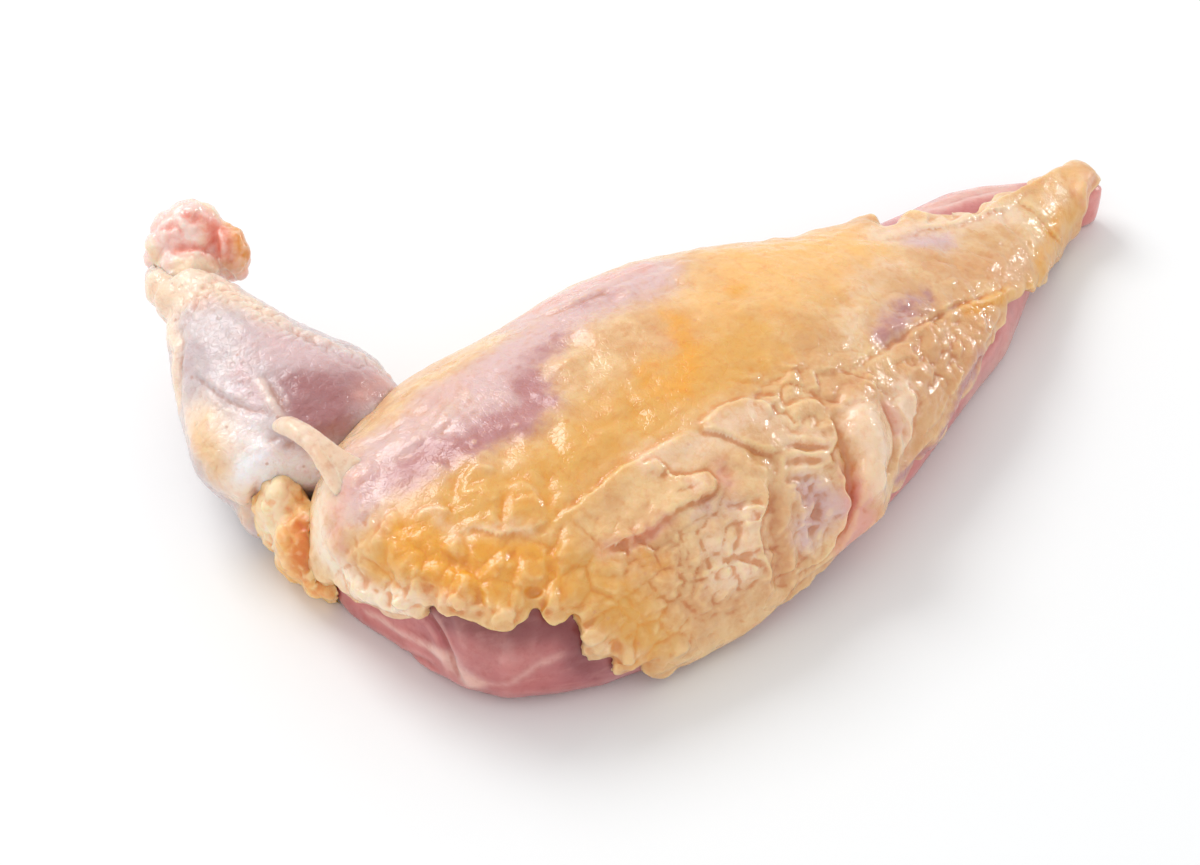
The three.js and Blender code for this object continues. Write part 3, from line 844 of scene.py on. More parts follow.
SKIN_FOLDS = [
    # name, photo pixels, half width in mm, height in mm
    ("long crease", [(1000, 290), (965, 303), (940, 316), (905, 334), (880, 350), (864, 364)], 0.55, -0.75),
    ("over the long crease", [(990, 280), (950, 300), (900, 322), (872, 340)], 2.0, 0.3),
    ("plate body", [(722, 420), (752, 424), (775, 434)], 3.0, 0.5),
    ("strip 1", [(757, 402), (767, 410), (776, 419)], 0.7, 0.5),
    ("strip 2", [(766, 398), (775, 404), (783, 413)], 0.7, 0.4),
    ("ridge 1", [(742, 468), (768, 472)], 1.3, 0.6),
    ("ridge 2", [(738, 485), (764, 489)], 1.2, 0.5),
    ("ridge 3", [(742, 503), (765, 509)], 1.2, 0.5),
    ("ridge 4", [(735, 520), (760, 527)], 1.2, 0.45),
    ("ridge 5", [(742, 540), (764, 545)], 1.1, 0.45),
    ("ridge 6", [(748, 556), (768, 560)], 1.1, 0.4),
    ("lower plate body", [(700, 446), (740, 462)], 3.4, 0.4),
    ("tongue body", [(690, 486), (706, 485)], 1.8, 0.5),
    ("hollow by the tongue", [(722, 468), (732, 478)], 1.6, -0.7),
    ("valley", [(777, 470), (776, 500), (774, 535), (780, 565), (783, 592)], 1.2, -0.8),
    ("pleat 1", [(785, 436), (808, 438), (831, 440)], 0.75, 0.55),
    ("pleat gap 1", [(783, 446), (806, 446), (828, 447)], 0.6, -0.55),
    ("pleat 2", [(786, 456), (806, 454), (826, 452)], 0.75, 0.6),
    ("pleat gap 2", [(785, 464), (802, 462), (822, 461)], 0.6, -0.5),
    ("pleat 3", [(787, 472), (806, 468), (826, 468)], 0.8, 0.5),
    ("pleat gap 3", [(785, 481), (800, 478), (818, 474)], 0.6, -0.4),
    ("pleat 0", [(784, 424), (806, 427), (826, 429)], 0.8, 0.3),
    ("grey lump 1", [(812, 486), (828, 482)], 1.5, 0.6),
    ("grey lump 2", [(797, 500), (806, 512), (800, 530)], 1.5, 0.6),
    ("grey lump 3", [(830, 502), (833, 515), (826, 532)], 1.5, 0.6),
    ("grey lump 4", [(790, 545), (806, 552), (812, 562)], 1.7, 0.45),
    ("grey lump 5", [(794, 490)], 1.3, 0.6),
    ("grey lump 6", [(818, 476)], 1.2, 0.5),
    ("grey lump 7", [(834, 498)], 1.1, 0.6),
    ("grey lump 8", [(836, 522)], 1.1, 0.5),
    ("grey lump 9", [(826, 545)], 1.3, 0.45),
    ("grey gap", [(818, 492), (817, 515), (812, 545)], 0.8, -0.5),
    ("finger", [(855, 410), (862, 428), (867, 450), (868, 470), (864, 490), (857, 510)], 3.2, 3.0),
    ("finger crest", [(864, 408), (874, 432), (877, 466), (870, 490)], 2.0, 0.5),
    ("finger valley", [(836, 420), (842, 445), (846, 470), (848, 500), (842, 525), (834, 550)], 1.0, -1.1),
    ("finger gap", [(884, 404), (892, 428), (892, 455), (887, 476)], 0.9, -0.9),
    ("crease above the finger", [(820, 407), (835, 396), (850, 384), (870, 373)], 0.7, -0.2),
    ("bulge under the long crease", [(895, 365), (930, 345), (960, 328)], 3.2, 0.5),
    ("fat band", [(950, 322), (970, 311), (990, 301), (1012, 290), (1035, 278)], 1.5, 0.8),
    ("tip fold", [(1000, 210), (1016, 232), (1030, 250)], 1.0, -0.3),
    ("hood edge", [(1092, 172), (1084, 188), (1078, 208), (1070, 228)], 1.1, 0.5),
    ("hood hollow", [(1058, 205), (1050, 222)], 2.4, -0.15),
    ("left swell body", [(475, 486), (490, 506)], 3.4, 0.6),
    ("right swell body", [(522, 500), (528, 514)], 2.6, 0.5),
    ("gap between swells", [(504, 498), (502, 515), (502, 530)], 0.8, -0.45),
    ("gap right of them", [(546, 470), (549, 495), (546, 512)], 1.2, -0.4),
    ("upper swell", [(560, 450), (600, 440)], 4.0, 0.4),
    ("hem lobe 1", [(352, 580), (364, 592), (374, 600)], 1.9, 1.4),
    ("hem lobe 2", [(398, 598), (406, 610)], 1.7, 1.7),
    ("hem lobe 3", [(452, 594), (464, 610)], 1.7, 1.5),
    ("hem lobe 4", [(492, 608), (512, 614)], 2.0, 1.8),
    ("hem lobe 5", [(586, 628), (598, 644)], 2.1, 1.6),
    ("hem lobe 6", [(618, 652), (634, 660)], 2.0, 1.4),
    ("hem lobe 7", [(672, 652), (690, 645)], 2.0, 1.0),
    ("hem lobe 8", [(550, 600), (564, 610)], 1.7, 1.0),
    ("hem gap 1", [(386, 610), (388, 590)], 0.9, -0.8),
    ("hem gap 2", [(432, 604), (430, 586)], 1.3, -0.8),
    ("hem gap 3", [(479, 616), (480, 596)], 0.9, -0.8),
    ("hem gap 4", [(533, 606), (534, 588)], 1.3, -0.8),
    ("hem gap 6", [(610, 660), (612, 640)], 0.9, -0.7),
    ("strap end", [(346, 472), (362, 482)], 2.6, 0.6),
    ("fat lobe 1", [(395, 540), (402, 556)], 2.2, 0.5),
    ("fat lobe 2", [(412, 575), (425, 582)], 2.4, 0.5),
    ("fat lobe 3", [(440, 540), (462, 548)], 2.2, 0.4),
    ("fat lobe 4", [(450, 575), (470, 580)], 2.4, 0.5),
    ("fat lobe 5", [(495, 560), (505, 575)], 2.4, 0.5),
    ("fat lobe 6", [(525, 560), (540, 575)], 2.2, 0.4),
    ("fat lobe 7", [(565, 545), (580, 560)], 2.6, 0.5),
    ("fat gap 1", [(425, 560), (450, 560), (480, 565)], 1.2, -0.5),
    ("fat gap 2", [(510, 545), (515, 565), (512, 585)], 0.9, -0.4),
    ("fat gap 3", [(552, 540), (556, 560), (552, 585)], 0.9, -0.4),
    ("low swell", [(640, 600), (680, 610), (720, 598)], 3.0, 0.5),
    ("flake 1", [(470, 444), (478, 442)], 1.1, 0.5),
    ("flake 2", [(514, 424), (518, 428)], 0.8, 0.5),
    ("flake 3", [(436, 464), (444, 470)], 1.0, 0.45),
    ("slit", [(470, 416), (484, 413)], 0.5, -0.3),
    ("shoulder wrinkle 1", [(405, 412), (425, 396), (440, 384)], 0.6, -0.22),
    ("shoulder wrinkle 2", [(415, 420), (436, 402), (450, 386)], 0.6, -0.2),
    ("shoulder wrinkle 3", [(425, 430), (446, 408), (462, 390)], 0.6, -0.2),
    ("shoulder wrinkle 4", [(436, 440), (460, 416), (478, 398)], 0.6, -0.18),
    ("shoulder wrinkle 5", [(392, 405), (412, 392), (424, 382)], 0.6, -0.2),
    ("shoulder wrinkle 6", [(396, 450), (420, 428), (440, 412)], 0.6, -0.18),
    ("shoulder wrinkle 7", [(380, 440), (402, 422), (420, 410)], 0.6, -0.18),
    ("shoulder dimple", [(362, 520), (372, 512)], 1.0, -0.4),
    ("left rim swell", [(330, 500), (325, 530), (335, 560)], 2.4, 0.4),
]
SKIN_RELIEF = {
    # where the small relief is strong: name, photo pixels, reach in mm, strength
    "lobed": [
        ("left fat", [(352, 580), (400, 580), (460, 580), (520, 582), (580, 580)], 6.5, 1.0),
        ("upper left fat", [(400, 535), (460, 550), (530, 555)], 6.0, 0.45),
        ("low middle fat", [(590, 610), (625, 640), (660, 640)], 7.0, 1.0),
        ("middle", [(570, 540), (640, 580)], 7.0, 0.5),
        ("left rim", [(335, 540), (345, 575)], 3.0, 0.7),
        ("wrinkled middle", [(650, 560), (700, 560), (740, 540)], 7.0, 1.1),
        ("low middle", [(680, 605), (740, 590)], 6.0, 1.1),
        ("grey lumps", [(808, 490), (815, 530), (800, 560)], 4.0, 1.1),
        ("tan end", [(930, 350), (900, 400), (960, 330)], 7.0, 0.35),
        ("tip side", [(920, 280), (1000, 250)], 6.0, 0.2),
    ],
    "creased": [
        ("wrinkled middle", [(640, 560), (700, 560), (740, 530)], 8.0, 0.75),
        ("right of the plate", [(790, 400), (800, 520), (790, 570)], 6.0, 0.5),
        ("tan end", [(850, 385), (930, 370), (990, 310)], 8.0, 0.45),
        ("above the plate", [(765, 385), (830, 385)], 5.0, 0.6),
        ("low middle", [(680, 610), (740, 600)], 7.0, 0.5),
        ("tip side", [(920, 280), (1000, 250)], 6.0, 0.25),
        ("smooth middle", [(620, 430), (720, 330), (830, 310)], 9.0, 0.12),
        ("over the long crease", [(905, 310)], 4.0, 0.6),
    ],
}
LEAST_RELIEF = {"lobed": 0.1, "creased": 0.14}
print("skin:", len(SKIN_FOLDS), "folds and", len(SKIN_SHEETS), "sheets")

# %% Skin colours
SKIN_PATCHES = {
    # colour: name, photo pixels, reach in mm, strength
    "yellow": [
        ("left fat", [(390, 560), (430, 545), (500, 580), (560, 570), (620, 600), (650, 640)], 7.0, 0.9),
        ("middle", [(460, 500), (520, 500), (560, 470), (620, 430), (680, 390), (740, 350)], 9.0, 0.9),
        ("right", [(760, 320), (840, 300)], 8.0, 0.4),
        ("fat band", [(965, 314), (1000, 298), (1040, 278)], 2.0, 0.9),
        ("tip", [(1045, 262), (1062, 235), (1078, 205)], 2.6, 0.6),
    ],
    "tan": [
        ("near end", [(985, 330), (940, 370), (912, 395)], 7.0, 0.9),
        # middle folds: tan painted as the shade of the creases there
        ("middle folds", [(640, 556), (662, 564)], 3.0, 0.8),
        ("under the long crease", [(820, 390), (870, 388)], 5.5, 0.6),
        ("tip side", [(935, 265), (965, 268), (1005, 268)], 4.8, 0.9),
        ("valley", [(772, 500), (778, 540), (785, 575)], 3.0, 0.9),
        ("low middle", [(680, 600), (720, 610)], 6.0, 0.4),
    ],
    "butter": [
        ("top swell", [(750, 262), (800, 250), (850, 243)], 8.5, 0.95),
        ("upper middle", [(700, 300), (760, 290), (830, 280)], 9.0, 0.5),
        ("hood", [(1050, 195), (1075, 185)], 4.5, 0.6),
    ],
    "cream": [
        ("wing side rim", [(395, 392), (425, 370), (462, 350), (500, 322)], 3.6, 0.3),
        ("left hem", [(405, 600), (440, 596)], 2.4, 0.7),
        ("hem edge", [(465, 606), (510, 610)], 1.6, 0.3),
        ("low hem", [(590, 640), (612, 652), (640, 660)], 2.0, 0.4),
        ("shoulder corner", [(345, 425), (350, 450)], 2.6, 0.7),
        ("plate", [(760, 415), (735, 425), (700, 445), (650, 460)], 3.4, 0.7),
        ("tongue", [(695, 484)], 2.4, 0.6),
        ("wrinkled middle", [(715, 545), (745, 560), (748, 520)], 3.4, 0.7),
        ("low pale", [(720, 580), (745, 575)], 3.0, 0.7),
        ("finger", [(858, 415), (868, 450), (872, 480)], 3.6, 1.0),
        ("thumb", [(905, 392), (904, 415), (900, 440)], 3.2, 1.0),
        ("hood", [(1052, 200), (1075, 188)], 3.4, 0.5),
        ("pleats", [(790, 438), (825, 445), (800, 460)], 3.0, 0.6),
        ("far strip", [(880, 236), (930, 228), (985, 214), (1012, 215)], 3.0, 0.9),
        ("between the creases", [(890, 262), (860, 290), (850, 330)], 4.0, 0.4),
        ("fat rims", [(385, 520), (430, 510), (455, 535), (530, 530)], 1.8, 0.5),
    ],
    "milk": [
        ("beside the strap end", [(336, 478), (350, 486), (342, 505)], 3.6, 0.8),
        ("left rim", [(318, 500), (322, 545), (345, 577), (372, 596), (398, 604)], 3.4, 1.0),
        ("strap end", [(342, 462), (352, 476)], 2.4, 0.6),
    ],
    "mauve": [
        ("far shoulder", [(645, 283), (600, 300), (560, 322), (520, 350), (490, 380)], 6.0, 0.95),
        ("far rim", [(650, 268), (600, 282), (555, 300), (525, 318)], 5.5, 0.85),
        ("shoulder", [(500, 372), (515, 400), (470, 425), (430, 450), (390, 470), (365, 490)], 6.0, 1.0),
        ("upper shoulder", [(440, 395), (405, 430), (370, 445)], 5.0, 0.7),
        ("window by the tip", [(915, 242), (945, 240)], 3.0, 0.9),
        ("over the long crease", [(905, 310), (880, 335)], 3.2, 0.5),
        ("grey lumps", [(808, 490), (826, 510), (806, 530)], 3.6, 0.8),
        ("below the tongue", [(700, 510), (730, 505)], 2.4, 0.5),
    ],
    "bruise": [
        ("dark patch", [(528, 385), (540, 405), (520, 420)], 3.8, 1.0),
        ("near rim", [(905, 482), (934, 448), (960, 412), (992, 362)], 1.7, 0.9),
        ("dark patch below", [(495, 430), (465, 448), (430, 456), (410, 470)], 3.6, 1.0),
        ("far streak", [(560, 340), (530, 360)], 2.6, 0.6),
        ("over the long crease", [(925, 296), (908, 308), (893, 322), (878, 338)], 2.4, 0.65),
        ("far line", [(620, 290), (585, 305)], 2.2, 0.4),
        ("left", [(400, 485), (380, 480)], 3.0, 0.4),
        ("grey lumps", [(812, 498), (815, 520)], 2.0, 0.3),
    ],
    "rose": [
        ("left end", [(350, 480), (335, 515), (340, 545)], 3.0, 0.45),
        ("finger foot", [(850, 510), (862, 525), (850, 548)], 4.2, 0.9),
        # finger side: pink painted as shade on the left of the finger
        ("finger side", [(842, 470), (848, 500)], 2.0, 0.6),
        ("pink crease", [(604, 551), (640, 540), (668, 520)], 1.8, 0.5),
        ("hollow by the tongue", [(722, 468), (728, 482)], 1.8, 0.5),
        ("between the amber spots", [(665, 345), (690, 338)], 2.4, 0.3),
        ("far rim", [(640, 268), (600, 280), (560, 298), (530, 312)], 3.0, 0.5),
        ("tip", [(1092, 180), (1088, 200)], 2.0, 0.5),
        ("thumb gap", [(888, 410), (895, 430)], 2.0, 0.5),
        ("shoulder wrinkles", [(460, 380), (420, 412)], 4.0, 0.2),
    ],
    "wet": [
        ("plates", [(700, 430), (770, 410), (800, 450), (765, 500), (755, 560)], 8.0, 0.9),
        ("finger and thumb", [(870, 430), (868, 480), (905, 400)], 5.0, 0.9),
        ("tip", [(905, 310), (960, 300), (985, 340), (930, 370)], 7.0, 0.55),
        ("grey lumps", [(810, 490), (815, 540)], 5.0, 0.9),
        ("middle", [(600, 580), (660, 560)], 6.0, 0.5),
        ("shoulder", [(380, 450), (400, 430)], 4.0, 0.5),
    ],
    "amber": [
        ("deep left", [(405, 535), (432, 556), (440, 572), (470, 572)], 4.0, 0.9),
        ("left", [(385, 560), (375, 575)], 2.4, 0.4),
        ("low left", [(500, 575), (545, 560), (560, 590)], 3.6, 0.5),
        ("far spot", [(735, 289)], 2.4, 0.7),
        ("long spot", [(676, 318), (690, 348), (684, 378)], 2.8, 0.65),
        ("near spot", [(650, 368), (655, 390), (680, 392)], 3.4, 0.5),
        ("swell edge", [(505, 505), (550, 500)], 2.0, 0.35),
        ("tip", [(1060, 212), (1052, 230), (1038, 262)], 2.2, 0.6),
        ("fat band", [(968, 313), (998, 300)], 1.6, 0.6),
        ("low middle", [(600, 585), (640, 580), (620, 610)], 3.0, 0.2),
        # middle folds: amber painted as the shade of the creases there
        ("middle folds", [(645, 558), (660, 565)], 3.0, 0.45),
        ("under the arc", [(480, 548), (530, 547)], 2.4, 0.6),
    ],
}
print("skin colours:", ", ".join(SKIN_PATCHES))

# %% Skin material
skin_finish = tissue(
    "fatty skin",
    base=paint(240, 205, 154), second=paint(220, 168, 112),
    layers=[
        ("yellow", paint(229, 173, 84), 4.0, 1.2),
        ("tan", paint(222, 167, 112), 4.0, 1.0),
        ("butter", paint(249, 193, 114), 5.0, 0.8),
        ("cream", paint(246, 214, 182), 2.6, 1.2),
        ("milk", paint(252, 230, 206), 2.6, 1.0),
        ("mauve", paint(222, 188, 184), 3.0, 1.0),
        ("rose", paint(232, 168, 152), 2.6, 1.0),
        ("bruise", paint(190, 132, 132), 2.6, 1.3),
        ("amber", paint(239, 168, 52), 2.6, 1.1),
    ],
    # crease is painted shade in the hollows, crest a painted highlight on the ridges, and deep paints amber
    # into the hollows of the yellow fat as shade
    crease=(paint(240, 190, 144), 0.8), crest=(paint(254, 226, 172), 0.28),
    deep=("yellow", paint(238, 160, 36), 0.7),
    grain={"Size": 1.7, "Cell size": 1.1, "Cells": 0.15, "Pit size": 2.6, "Pits": 0.25},
    gloss=(0.3, 1.0, 0.05, 0.12), depth_mm=1.8, blush=(1.0, 0.55, 0.3),
    pores=(paint(216, 150, 120), 0.35), wet_where="wet")
print("finish:", skin_finish.name)

# %% Skin piece
SKIN_VOXEL_MM = 0.42
HEM_ROUNDS = 24
HEM_LOBE_MM = 4.6
HEM_ROLL_MM = 1.3
FAR_HEM_FROM_MM = 0.0
FAR_HEM_SHARE = 0.15
INNER_FACES_KEPT = 0.06
FREE_FROM_MM = 0.45
FREE_OVER_MM = 0.7
HEM_MIDDLE_MM = 1.2
HEM_REACH_MM = 0.75
HEM_FROM_MM = 0.5
HEM_LEAST_ROLL = 0.8
HEM_LOBE_ROLL = 1.5
skin_tree = search_tree("breast_skin")
meat_tree = search_tree("breast_flesh")
skin = fine_copy("breast_skin", "fatty_skin", SKIN_VOXEL_MM, 1.2)


def above_meat(points):
    """How far each point is from the meat, in millimetres."""
    return np.array([meat_tree.find_nearest(point * MM)[3] for point in points]) / MM


gap = above_meat(points_of(skin.data))
print("skin net:", len(skin.data.polygons), "faces,", gap.min(), "to", gap.max(), "mm above the meat")
outer = soft_step((gap - FREE_FROM_MM) / FREE_OVER_MM)
inner_side = skin.vertex_groups.new(name="inner side")
for index in np.nonzero(outer <= 0)[0]:
    inner_side.add([int(index)], 1.0, "REPLACE")
merge = skin.modifiers.new("Coarse inner side", "DECIMATE")
merge.vertex_group = "inner side"
inner_share = float(np.mean(outer <= 0))
merge.ratio = 1 - inner_share * (1 - INNER_FACES_KEPT)
settle(skin)
skin.vertex_groups.clear()

points = points_of(skin.data)
gap = above_meat(points)
hem_wall = np.exp(-((gap - HEM_MIDDLE_MM) / HEM_REACH_MM) ** 2) * (gap > HEM_FROM_MM)
points += hem_wall[:, None] * (relaxed(skin, HEM_ROUNDS) - points)
put_points(skin.data, points)
outer = soft_step((gap - FREE_FROM_MM) / FREE_OVER_MM)
moved_points = wandered(points)
lobes = np.array([noise.noise(point / HEM_LOBE_MM) for point in moved_points])
hem_roll = HEM_ROLL_MM * hem_wall * (HEM_LEAST_ROLL + HEM_LOBE_ROLL * lobes)
hem_roll *= np.where(points[:, 1] > FAR_HEM_FROM_MM, FAR_HEM_SHARE, 1.0)
height = (folded(SKIN_FOLDS, skin_tree, moved_points) + sheeted(SKIN_SHEETS, skin_tree, moved_points)
          + hem_roll)
put_points(skin.data, points + outward(skin.data) * (height * outer)[:, None])
for kind, mask in patched({**SKIN_RELIEF, **SKIN_PATCHES}, skin_tree, moved_points).items():
    write_mask(skin.data, kind, np.maximum(mask, LEAST_RELIEF.get(kind, 0)))
write_mask(skin.data, "free", outer)
give_relief(skin, skin_finish, lobe_size=6.0, lobe_height=0.62, crease_size=5.6, crease_depth=0.8,
            grain_size=1.9, grain_height=0.15, seed=3)
mark_hollows(skin)
print("skin:", len(skin.data.polygons), "faces")

# %% [markdown]
# ## The meat
# The muscle shows below the hem, along the near edge towards the tip, on the far side and underneath.
# It is smooth and close-grained and rosier at the ends, with pale threads of connective tissue that
# run along it, and a dusky pink is painted on it as the shade of the hem. A seam parts the small lobe at
# the wing end from the main one, with a whitish film in it.

# %% Meat folds and colours
MEAT_FOLDS = [
    ("seam", [(425, 612), (440, 635), (450, 655), (458, 680)], 1.0, -1.0),
    ("pale sinew", [(368, 612), (395, 628), (420, 642), (440, 652)], 0.9, 0.45),
    ("sinew end", [(436, 650), (442, 654)], 1.2, 0.5),
    ("split in the small lobe", [(385, 640), (400, 650), (425, 662), (436, 668)], 0.8, -0.5),
    ("main lobe", [(500, 645), (540, 650)], 7.0, 0.5),
    ("rim fold", [(995, 308), (998, 330)], 1.0, 0.7),
    ("rim crease", [(1005, 312), (988, 345), (965, 382)], 0.9, -0.4),
    ("rim crease 2", [(880, 497), (862, 520), (850, 548)], 0.8, -0.4),
    ("far crease", [(930, 208), (965, 196), (1000, 190)], 0.8, -0.3),
]
MEAT_PATCHES = {
    "rose": [
        ("tip", [(1098, 178), (1100, 200), (1088, 232)], 5.0, 1.0),
        ("far side", [(900, 216), (960, 196), (1030, 184)], 5.0, 0.6),
        ("near rim", [(870, 520), (930, 450), (985, 360), (1040, 290)], 5.0, 0.5),
        ("small lobe", [(370, 610), (400, 630), (420, 655)], 4.0, 0.5),
    ],
    # deep: painted shade, a dusky dark red under the hem and along the near edge, where the skin hangs over
    "deep": [
        ("under the hem", [(440, 612), (500, 628), (560, 625), (590, 650)], 4.0, 0.9),
        ("near edge", [(850, 555), (810, 585)], 4.0, 0.6),
        ("right of the lobe", [(600, 672), (575, 660)], 4.0, 0.5),
    ],
    "violet": [
        ("film in the seam", [(452, 658), (460, 672)], 2.4, 0.9),
        ("right lobe", [(580, 662), (620, 676)], 5.0, 0.5),
    ],
    "pale": [
        ("film", [(455, 668), (470, 684)], 2.4, 0.9),
        ("sinew", [(368, 612), (395, 628), (420, 642), (440, 652)], 0.9, 0.6),
        ("sinew end", [(436, 650), (443, 655)], 1.3, 1.0),
        ("main lobe", [(480, 655), (520, 665)], 6.0, 0.2),
        ("streak", [(465, 683), (500, 686), (530, 670), (560, 655)], 0.8, 0.35),
        ("rim", [(1010, 340), (970, 400)], 4.0, 0.4),
        ("far side", [(930, 208), (960, 195), (1010, 188)], 3.4, 0.8),
        ("low lobe", [(395, 650)], 2.6, 0.2),
    ],
}
meat_finish = tissue(
    "raw breast meat",
    base=paint(198, 110, 108), second=paint(186, 98, 99),
    layers=[
        ("rose", paint(226, 138, 132), 4.0, 0.7),
        ("violet", paint(186, 124, 132), 4.0, 0.6),
        # deep: painted shade under the hem
        ("deep", paint(138, 62, 65), 5.0, 0.6),
        ("pale", paint(232, 188, 174), 2.5, 0.6),
    ],
    # crease is painted shade in the hollows, crest a painted highlight on the ridges
    crease=(paint(225, 170, 160), 0.7), crest=(paint(240, 200, 190), 0.2),
    grain={"Size": 1.0, "Cell size": 1.6, "Cells": 0.15, "Pit size": 4.0, "Pits": 0.0},
    gloss=(0.36, 0.6, 0.14, 0.04), depth_mm=2.6, blush=(1.0, 0.35, 0.25), mottle_mm=12.0,
    lines={"stretch": (0.16, 1.0, 1.0), "turn": (0.0, 0.0, 0.15), "size": 2.2, "strength": 0.18,
           "colour": paint(226, 166, 158)})


def worked_piece(node, name, voxel_mm, ease_mm, folds, patches, finish, even_masks, touches=(),
                 sunk=(), **sizes):
    """Copies a solid finely, lays its folds and patches on it, and gives it relief and finish.

    even_masks are the masks that have one value all over. touches names the solids that the piece is
    drawn up to, and sunk lists places that are pressed down: pixel, reach and depth in mm.
    """
    tree = search_tree(node)
    piece = fine_copy(node, name, voxel_mm, ease_mm)
    points = closed_up(points_of(piece.data), [search_tree(neighbour) for neighbour in touches])
    for pixel, reach, depth in sunk:
        away = np.linalg.norm(points - spot(tree, *pixel), axis=1)
        points[:, 2] -= depth * np.exp(-(away / reach) ** 2)
    moved = wandered(points)
    height = folded(folds, tree, moved)
    put_points(piece.data, points + outward(piece.data) * height[:, None])
    for kind, mask in patched(patches, tree, moved).items():
        write_mask(piece.data, kind, mask)
    for kind, value in {**even_masks, "free": 1.0}.items():
        write_mask(piece.data, kind, np.full(len(points), value))
    give_relief(piece, finish, **sizes)
    mark_hollows(piece)
    print(name + ":", len(piece.data.polygons), "faces")
    return piece


print("finish:", meat_finish.name, "with", len(MEAT_FOLDS), "folds")

# %% Meat piece
meat = worked_piece("breast_flesh", "breast_meat", 0.75, 1.6, MEAT_FOLDS, MEAT_PATCHES, meat_finish,
                    {"lobed": 0.0, "creased": 0.15},
                    crease_size=9.0, crease_depth=0.3, grain_size=2.2, grain_height=0.05, seed=5)

# %% [markdown]
# ## The wing joint
# The skin is drawn tight over the upper wing, so it is smooth and glossy, and the dark meat shows
# through it in mauve-brown towards the breast. It has small pits where quills sat. A crease parts the
# upper belly from a cream and yellow lobe at the lower left, a loose flap runs down the outer side, and
# a pimply cuff sits below the knuckle.

# %% Wing folds and colours
WING_FOLDS = [
    ("crease", [(198, 376), (212, 388), (228, 402), (245, 411), (270, 414)], 0.7, -0.5),
    ("fold above it", [(200, 368), (225, 392), (250, 404)], 1.6, 0.35),
    ("inner edge", [(258, 383), (266, 395), (274, 410), (280, 418)], 0.9, 0.5),
    ("inner edge gap", [(264, 380), (272, 393), (282, 410)], 0.8, -0.5),
    ("flap", [(146, 292), (158, 303), (167, 326), (177, 350), (175, 368), (172, 395)], 1.2, 0.5),
    ("flap gap", [(176, 318), (182, 345), (180, 375), (180, 405)], 0.9, -0.5),
    ("cuff", [(186, 300), (200, 283), (215, 276), (232, 280), (243, 286)], 1.1, 0.5),
    ("inside the cuff", [(188, 312), (198, 297), (214, 288), (232, 290)], 1.0, -0.3),
    ("top edge", [(262, 300), (300, 330), (330, 342), (365, 358), (392, 372)], 1.0, 0.3),
    ("top gap", [(285, 325), (320, 345), (350, 362), (380, 382)], 1.0, -0.25),
    ("lobe", [(200, 420), (225, 450), (240, 485)], 5.0, 0.5),
    ("pocket by the strap", [(265, 432), (280, 440), (295, 448)], 1.3, -0.7),
    ("pocket lip", [(250, 445), (270, 449), (295, 452)], 0.8, 0.4),
    ("low flap", [(252, 500), (248, 515), (255, 535)], 1.0, 0.4),
    ("fold by the fat", [(262, 480), (256, 495), (250, 512), (254, 530)], 1.0, -0.6),
]
WING_PATCHES = {
    "yellow": [
        ("lower lobe", [(200, 425), (206, 445), (214, 468)], 3.2, 0.8),
        ("low edge", [(232, 500), (242, 520)], 2.4, 0.6),
        ("upper edge", [(205, 300), (240, 300)], 4.0, 0.25),
        ("neck", [(152, 286), (168, 300)], 3.0, 0.3),
    ],
    "cream": [
        ("cuff", [(180, 300), (215, 285), (245, 298), (275, 322)], 3.6, 0.9),
        ("neck", [(150, 280), (175, 275), (200, 276), (170, 295)], 4.0, 1.0),
        ("flap", [(150, 295), (165, 318), (176, 345), (175, 400)], 2.4, 0.9),
        ("lobe", [(195, 420), (235, 450), (235, 485), (270, 500)], 5.0, 0.9),
        ("top edge", [(300, 333), (345, 350), (390, 370)], 1.6, 0.5),
        ("inner edge", [(258, 383), (270, 402), (280, 416)], 1.2, 0.7),
    ],
    "window": [
        # belly: a pale patch painted as highlight where the wing's sheen lies
        ("belly", [(230, 380), (250, 400)], 3.0, 0.4),
        ("by the strap", [(255, 470), (290, 466), (275, 482), (310, 470)], 4.2, 1.0),
        ("low", [(250, 430)], 4.0, 0.5),
    ],
    "mauve": [
        ("upper", [(270, 340), (300, 355), (355, 370), (385, 385)], 5.5, 0.8),
        ("belly edge", [(240, 370), (255, 405)], 3.0, 0.5),
    ],
    "bruise": [
        ("dark", [(306, 388), (335, 394), (328, 415), (305, 408)], 5.4, 1.0),
        ("towards the breast", [(355, 378), (375, 388)], 3.6, 0.6),
    ],
    "lobed": [
        ("cuff", [(190, 305), (215, 290), (250, 300), (280, 325)], 4.5, 1.0),
        ("top edge", [(300, 335), (345, 352), (385, 370)], 2.5, 0.7),
        ("lower lobe", [(210, 450), (235, 495)], 5.0, 0.4),
    ],
    "rose": [
        ("by the breast", [(385, 380), (360, 395)], 2.6, 0.5),
        ("neck", [(200, 300)], 3.0, 0.3),
    ],
}
wing_finish = tissue(
    "tight wing skin",
    base=paint(216, 202, 201), second=paint(202, 184, 186),
    layers=[
        ("cream", paint(246, 222, 198), 4.0, 0.6),
        ("yellow", paint(240, 200, 150), 4.0, 0.7),
        ("window", paint(254, 248, 250), 3.0, 0.7),
        ("mauve", paint(222, 190, 190), 4.0, 0.9),
        ("bruise", paint(172, 115, 116), 4.0, 0.9),
        ("rose", paint(226, 168, 154), 3.0, 0.5),
    ],
    # crease is painted shade in the hollows, crest a painted highlight on the ridges
    crease=(paint(236, 200, 184), 0.8), crest=(paint(252, 240, 232), 0.25),
    grain={"Size": 0.9, "Cell size": 1.4, "Cells": 0.2, "Pit size": 3.4, "Pits": 1.0},
    gloss=(0.4, 0.75, 0.09, 0.16), depth_mm=2.0, blush=(1.0, 0.5, 0.35),
    pores=(paint(196, 132, 112), 0.55))
